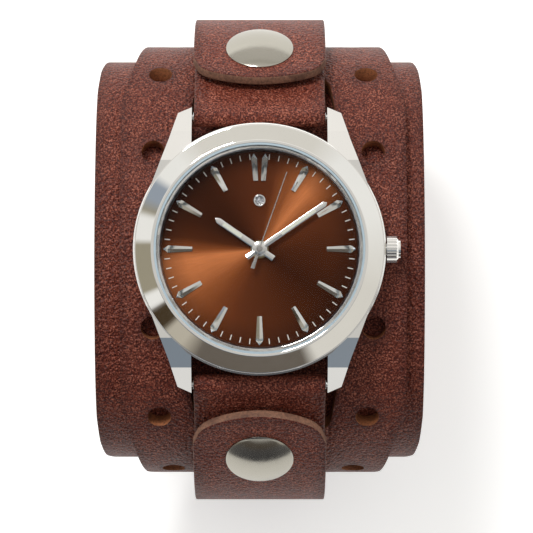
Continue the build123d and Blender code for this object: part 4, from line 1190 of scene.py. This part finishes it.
class CUFF_OT_bezel(bpy.types.Operator):
    """Add the polished bezel with its sloping face and its thin step"""

    bl_idname = "cuff.bezel"
    bl_label = "Bezel"

    def execute(self, context):
        sizes = context.scene.head_sizes
        outer = (BEZEL_HIGH.x - BEZEL_LOW.x) / 2
        foot, top = BEZEL_LOW.z, BEZEL_HIGH.z
        shoulder, ledge = foot + sizes.bezel_step, foot + sizes.bezel_seat
        bezel = lathe("polished_bezel", [
            (outer - sizes.bezel_ring, foot), (outer, foot), (outer, shoulder),
            (outer - sizes.bezel_step_width, shoulder), (sizes.bezel_top, top),
            (sizes.bezel_bore, top), (sizes.bezel_bore, ledge), (outer - sizes.bezel_ring, ledge)],
            BEZEL_STEPS, BEZEL_RIM)
        turned(bezel)
        seat(bezel, "case", "polished_steel", "bezel", "polished steel", BEZEL_CREASE)
        return {"FINISHED"}


CAP_STEPS, CAP_RINGS, CAP_RIM = 96, 14, 0.06 * MM


def dome(radius, edge, height, foot):
    """Closed outline of a domed cap: its flat foot, its upright edge and its arc."""
    rise = height - edge
    ball = (radius ** 2 + rise ** 2) / (2 * rise)
    reach = asin(radius / ball)
    arc = [(ball * sin(reach * ring / CAP_RINGS), height - ball + ball * cos(reach * ring / CAP_RINGS))
           for ring in range(CAP_RINGS, -1, -1)]
    return [(0.0, foot), (radius, foot)] + arc


class CUFF_OT_snap_caps(bpy.types.Operator):
    """Add the two domed snap caps"""

    bl_idname = "cuff.snap_caps"
    bl_label = "Snap Caps"

    def execute(self, context):
        head = context.scene.head_sizes
        oval = Oval()
        fall = oval.fall
        middle = oval.on_side(oval.flap_radius + context.scene.cuff_sizes.strap_thickness, fall)
        low = -head.cap_sink
        for side, word in ((1, "upper"), (-1, "lower")):
            profile = dome(head.cap_radius, low + head.cap_edge, low + head.cap_height, low)
            cap = lathe(f"{word}_domed_cap", profile, CAP_STEPS, CAP_RIM)
            for vertex in cap.data.vertices:
                x, along, lift = vertex.co
                vertex.co = (HEAD_X + x, side * (middle[0] + along * cos(fall) + lift * sin(fall)),
                             middle[1] - along * sin(fall) + lift * cos(fall))
            face_outwards(cap)
            seat(cap, f"{word}_flap", "polished_steel", f"{word}_snap_cap", "cap steel")
        return {"FINISHED"}


MARKER_SIDE_SHARE, MARKER_TIP = 0.3, 0.03 * MM
BATON_SHOULDER, BATON_END = 0.75 * MM, 0.02 * MM
TWIN_START, TWIN_SHOULDER, TWIN_END, TWIN_TAPER = 0.2 * MM, 0.85 * MM, 0.1 * MM, 0.8


class CUFF_OT_markers(bpy.types.Operator):
    """Add the faceted hour batons and the pair at 12 o'clock"""

    bl_idname = "cuff.markers"
    bl_label = "Hour Markers"

    def execute(self, context):
        head = context.scene.head_sizes
        floor = DIAL_HIGH.z
        side, ridge = floor + head.marker_height * MARKER_SIDE_SHARE, floor + head.marker_height
        inner, outer = head.marker_inner, head.marker_outer
        slim, wide, twin_half = (width / 2 for width in (
            head.marker_inner_width, head.marker_outer_width, head.twin_width))
        batons = []
        for hour in range(1, 12):
            baton = roof("baton", [
                (inner, slim, side, ridge), (outer - BATON_SHOULDER, wide, side, ridge),
                (outer - BATON_END, MARKER_TIP, side, side)], floor)
            batons.append(turned(baton, hour * pi / 6))
        for hand in (1, -1):
            twin = roof("twin", [
                (inner + TWIN_START, twin_half * TWIN_TAPER, side, ridge),
                (outer - TWIN_SHOULDER, twin_half, side, ridge),
                (outer - TWIN_END, MARKER_TIP, side, side)], floor)
            for vertex in twin.data.vertices:
                share = (vertex.co.y - inner) / (outer - inner)
                vertex.co.x += hand * (head.twin_inner + (head.twin_outer - head.twin_inner) * share)
            batons.append(turned(twin))
        whole = joined(batons, "faceted_batons")
        face_outwards(whole)
        seat(whole, "case", "polished_steel", "hour_markers", "hand steel")
        return {"FINISHED"}


class CUFF_OT_minute_track(bpy.types.Operator):
    """Add the fine printed minute marks between the hours"""

    bl_idname = "cuff.minute_track"
    bl_label = "Minute Track"

    def execute(self, context):
        head = context.scene.head_sizes
        marks = []
        for minute in range(60):
            if minute % 5 == 0:
                continue
            mark = added("mark", bpy.ops.mesh.primitive_cube_add, size=1)
            for vertex in mark.data.vertices:
                x, y, z = vertex.co
                vertex.co = (x * head.tick_width, head.tick_radius + y * head.tick_length,
                             DIAL_HIGH.z + (z + 0.5) * head.print_height)
            marks.append(turned(mark, minute * pi / 30))
        seat(joined(marks, "minute_marks"), "case", "lume", None, "dial print")
        return {"FINISHED"}


CUP_STEPS, CUP_RIM, CUP_FLOOR = 48, 0.02 * MM, 0.1 * MM
CUP_SIDE, CUP_LIP, CUP_MOUTH, CUP_WALL = 0.6, 0.9, 1.08, 0.75
GEM_SIDES, GEM_TABLE, GEM_DEPTH, GEM_MIDDLE = 8, 0.55, 0.3 * MM, 0.29 * MM


class CUFF_OT_stone(bpy.types.Operator):
    """Add the round stone in its polished cup"""

    bl_idname = "cuff.stone"
    bl_label = "Stone"

    def execute(self, context):
        low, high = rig.box("stone_setting")
        middle = (low + high) / 2
        outer, inner = (high.x - low.x) / 2, context.scene.head_sizes.gem_radius
        height = high.z - low.z
        cup = lathe("stone_cup", [
            (0.0, 0.0), (outer, 0.0), (outer, height * CUP_SIDE), (outer * CUP_LIP, height),
            (inner * CUP_MOUTH, height), (inner, height * CUP_WALL), (inner, CUP_FLOOR), (0.0, CUP_FLOOR)],
            CUP_STEPS, CUP_RIM)
        turned(cup, middle=(middle.x, middle.y, low.z))
        seat(cup, "case", "polished_steel", "stone_setting", "polished steel")
        gem = added("cut_stone", bpy.ops.mesh.primitive_cone_add, vertices=GEM_SIDES, radius1=inner,
                    radius2=inner * GEM_TABLE, depth=GEM_DEPTH, end_fill_type="NGON",
                    location=(middle.x, middle.y, low.z + GEM_MIDDLE))
        settle(gem)
        paint(gem, bpy.data.materials["cut stone"])
        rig.slot(gem, "stone")
        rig.replaces(gem, "stone")
        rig.ride(gem, "case")
        return {"FINISHED"}


# Hands, in mm: tail, width, radius of the hub, and where the pale fill starts and ends
HANDS = {"hour": (2.75, 0.95, 1.25, 3.5, 7.1), "minute": (2.5, 0.85, 1.1, 4.3, 11.0)}
HAND_SIDE_SHARE, HAND_POINT, HAND_TIP, FILL_SHARE = 0.4, 1.1, 0.12, 0.29
HUB_STEPS, HUB_BORE, HUB_TOP = 64, 0.3 * MM, 0.8
# Second hand: (place along, half width) of the ends of its needle and of its tail
NEEDLE_START, NEEDLE_HALF, NEEDLE_END_HALF = -1.3 * MM, 0.09 * MM, 0.07 * MM
TAIL_ENDS = ((-3.4 * MM, 0.32 * MM), (-1.2 * MM, 0.22 * MM))
NEEDLE_HEIGHT, TAIL_RIDGE = 0.15 * MM, 0.05 * MM
BUTTON_STEPS, BUTTON_RADIUS, BUTTON_TOP, BUTTON_CHAMFER = 40, 0.5 * MM, 0.4 * MM, 0.08 * MM


class CUFF_OT_hands(bpy.types.Operator):
    """Add the faceted hour and minute hands with their pale fill, and the second hand"""

    bl_idname = "cuff.hands"
    bl_label = "Hands"

    def execute(self, context):
        head = context.scene.head_sizes
        for word, values in HANDS.items():
            self.faceted(head, word, getattr(head, f"{word}_length"), getattr(head, f"{word}_angle"),
                         *(value * MM for value in values))
        self.second(head)
        return {"FINISHED"}

    def faceted(self, head, word, reach, angle, tail, width, hub, start, end):
        """A hand with a ridge and a hub, and its fill."""
        low, high = (corner.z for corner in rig.box(f"{word}_hand"))
        side, half = low + (high - low) * HAND_SIDE_SHARE, width / 2
        blade = roof("blade", [(-tail, half, side, high), (reach - HAND_POINT * half, half, side, high),
                               (reach, HAND_TIP * half, side, side)], low)
        boss = lathe("boss", [(HUB_BORE, low), (hub, low), (hub, side), (hub * HUB_TOP, high),
                              (HUB_BORE, high)], HUB_STEPS)
        hand = joined([turned(blade, angle), turned(boss)], f"faceted_{word}_hand")
        face_outwards(hand)
        seat(hand, f"{word}_hand", "polished_steel", f"{word}_hand", "hand steel")
        top = high + head.print_height
        fill = roof(f"pale_{word}_fill", [(place, width * FILL_SHARE, high, top) for place in (start, end)],
                    low + head.print_height)
        seat(turned(fill, angle), f"{word}_hand", "lume", f"{word}_lume", "luminous fill")

    def second(self, head):
        """The thin hand with its broad tail and its button."""
        low, high = (corner.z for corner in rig.box("second_hand"))
        top = low + NEEDLE_HEIGHT
        needle = roof("needle", [(NEEDLE_START, NEEDLE_HALF, top, top),
                                 (head.second_length, NEEDLE_END_HALF, top, top)], low)
        tail = roof("tail", [(place, half, top, top + TAIL_RIDGE) for place, half in TAIL_ENDS], low)
        button = lathe("button", [(0.0, low), (BUTTON_RADIUS, low), (BUTTON_RADIUS, high - BUTTON_CHAMFER),
                                  (BUTTON_TOP, high), (0.0, high)], BUTTON_STEPS)
        hand = joined([turned(needle, head.second_angle), turned(tail, head.second_angle),
                       turned(button)], "fine_second_hand")
        face_outwards(hand)
        seat(hand, "second_hand", "polished_steel", "second_hand", "second steel")


FLOOR_SIZE, FLOOR_GLOW = 4.0, 0.4
KEY_PLACE, KEY_TARGET, KEY_SIZE, KEY_POWER = Vector((-0.20, 0.45, 0.62)), Vector((0, 0, 0.04)), 0.22, 3.4
SENSOR, CLIP_START = 36.0, 0.01


class CUFF_OT_stage(bpy.types.Operator):
    """Add the floor, the light, the sky and the camera"""

    bl_idname = "cuff.stage"
    bl_label = "Stage"

    def execute(self, context):
        look = context.scene.stage_look
        floor = added("floor", bpy.ops.mesh.primitive_plane_add, size=FLOOR_SIZE)
        paint(floor, floor_material(look.floor))
        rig.stage(floor)
        key = added("key", bpy.ops.object.light_add, type="AREA", location=KEY_PLACE)
        key.data.size = KEY_SIZE
        key.data.energy = KEY_POWER
        face(key, KEY_TARGET - KEY_PLACE)
        make_sky()
        target = Vector((HEAD_X + look.aim_x, look.aim_y, DIAL_HIGH.z))
        towards = Vector((0, -cos(look.elevation), sin(look.elevation)))
        camera = added("Camera", bpy.ops.object.camera_add, location=target + look.distance * towards)
        face(camera, -towards)
        camera.data.sensor_width = SENSOR
        camera.data.lens = SENSOR * look.distance / look.view_width
        camera.data.clip_start = CLIP_START
        context.scene.camera = camera
        context.scene.view_settings.view_transform = "Standard"
        return {"FINISHED"}


def face(thing, direction):
    """Turn a light or a camera to look in a direction."""
    thing.rotation_euler = direction.to_track_quat("-Z", "Y").to_euler()


def floor_material(colour):
    """Pale floor that looks white but for the watch's shadow."""
    finish = Finish("pale floor")
    marks = finish.noise(finish.place(), scale=8.0)
    rays = finish.add("ShaderNodeLightPath").outputs
    seen = finish.math("MAXIMUM", rays["Is Camera Ray"], rays["Is Glossy Ray"])
    seen = finish.math("MAXIMUM", seen, rays["Is Transmission Ray"])
    finish.shade(Base_Color=finish.mix(finish.spread(marks, 0.3, 0.7), scaled(colour, 0.985), colour),
                 Roughness=0.9, Emission_Color=(1.0, 1.0, 1.0),
                 Emission_Strength=finish.math("MULTIPLY", seen, FLOOR_GLOW))
    return finish.material


# Upright panels round the watch: angle in degrees, and the colour reached there
PANELS = (
    (180, "olive"), (197, "olive"), (199, "white"), (205, "white"), (207, "dark"), (216, "dark"),
    (219, "sand"), (228, "sand"), (238, "grey"), (293, "grey"), (300, "cream"), (345, "cream"),
    (380, "white"), (410, "white"), (424, "cream"), (478, "cream"), (490, "white"), (501, "white"),
    (505, "blue"), (512, "blue"), (518, "olive"), (521, "white"), (532, "white"), (534, "olive"),
    (540, "olive"))
PANEL_COLOURS = {
    "white": (0.93, 0.93, 0.91), "cream": (0.75, 0.73, 0.68), "sand": (0.52, 0.48, 0.40),
    "olive": (0.35, 0.32, 0.24), "blue": (0.33, 0.38, 0.45), "grey": (0.14, 0.12, 0.10),
    "dark": (0.06, 0.04, 0.02)}


LOW_SKY = ((0.0, (0.10, 0.10, 0.11)), (0.5, (0.55, 0.54, 0.52)), (1.0, (0.95, 0.93, 0.90)))
HIGH_SKY = ((0.0, (0.85, 0.85, 0.85)), (0.5, (0.62, 0.61, 0.59)), (0.7, (0.95, 0.93, 0.90)),
            (1.0, (1.0, 0.98, 0.95)))
FLAG_LOW, FLAG_HIGH = (0.05, 0.05, 0.06), (0.22, 0.26, 0.31)


def make_sky():
    """A studio that grows brighter towards 12 o'clock, with the panels that the steel reflects."""
    world = bpy.context.scene.world or bpy.data.worlds.new("studio")
    bpy.context.scene.world = world
    world.use_nodes = True
    nodes = Nodes(world.node_tree)
    direction = nodes.add("ShaderNodeTexCoord").outputs["Generated"]
    x, y, z = nodes.add("ShaderNodeSeparateXYZ", {0: direction}).outputs
    turn = nodes.math("MULTIPLY_ADD", nodes.math("ARCTAN2", y, x), 1 / (2 * pi), 0.5)
    panels = nodes.ramp(turn, [((angle - 180) / 360, PANEL_COLOURS[name]) for angle, name in PANELS])
    towards_twelve = nodes.spread(y, -1.0, 1.0)
    low, high = nodes.ramp(towards_twelve, LOW_SKY), nodes.ramp(towards_twelve, HIGH_SKY)
    flag = nodes.math("MULTIPLY", nodes.spread(z, 0.68, 0.71), nodes.spread(y, -0.12, -0.20))
    flag = nodes.math("MULTIPLY", flag, nodes.spread(x, 0.25, 0.0, 0.6, 1.0))
    high = nodes.mix(flag, high, nodes.mix(nodes.spread(z, 0.84, 0.90), FLAG_LOW, FLAG_HIGH))
    above = nodes.spread(nodes.math("MULTIPLY_ADD", y, 0.052, z), 0.505, 0.525)
    colour = nodes.mix(nodes.spread(z, 0.40, 0.33), nodes.mix(above, panels, high), low)
    background = nodes.add("ShaderNodeBackground", {"Color": colour, "Strength": 1.0})
    nodes.add("ShaderNodeOutputWorld", {"Surface": background.outputs[0]})


class CUFF_PT_panel(bpy.types.Panel):
    """Lists the pieces of the watch"""

    bl_idname = "CUFF_PT_panel"
    bl_label = "Cuff Watch"
    bl_space_type = "VIEW_3D"
    bl_region_type = "UI"
    bl_category = "Cuff Watch"

    def draw(self, context):
        for operator in PIECES:
            self.layout.operator(operator.bl_idname)
        for group in (getattr(context.scene, name) for name, kind in GROUPS):
            box = self.layout.box()
            for name in group.bl_rna.properties.keys():
                if name not in ("rna_type", "name"):
                    box.prop(group, name)


PIECES = (CUFF_OT_finishes, CUFF_OT_base_band, CUFF_OT_overlay_band, CUFF_OT_lug_straps,
          CUFF_OT_closure, CUFF_OT_bezel, CUFF_OT_snap_caps, CUFF_OT_markers, CUFF_OT_minute_track,
          CUFF_OT_stone, CUFF_OT_hands, CUFF_OT_stage)
GROUPS = (("cuff_sizes", CuffSizes), ("head_sizes", HeadSizes), ("leather_look", LeatherLook),
          ("stage_look", StageLook))


def register():
    """Make the settings, the operators and the panel known to Blender."""
    for name, group in GROUPS:
        bpy.utils.register_class(group)
        setattr(bpy.types.Scene, name, bpy.props.PointerProperty(type=group))
    for operator in PIECES:
        bpy.utils.register_class(operator)
    bpy.utils.register_class(CUFF_PT_panel)


def unregister():
    """Take the panel, the operators and the settings away again."""
    bpy.utils.unregister_class(CUFF_PT_panel)
    for operator in reversed(PIECES):
        bpy.utils.unregister_class(operator)
    for name, group in reversed(GROUPS):
        delattr(bpy.types.Scene, name)
        bpy.utils.unregister_class(group)


def main():
    """Build every piece in order and write the model's size."""
    register()
    for operator in PIECES:
        family, name = operator.bl_idname.split(".")
        getattr(getattr(bpy.ops, family), name)()
    with open("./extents.json", "w") as file:
        json.dump({"cad": [list(corner) for corner in CAD_BOX],
                   "visual": [list(corner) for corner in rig.bounds()]}, file)


if __name__ == "__main__":
    main()
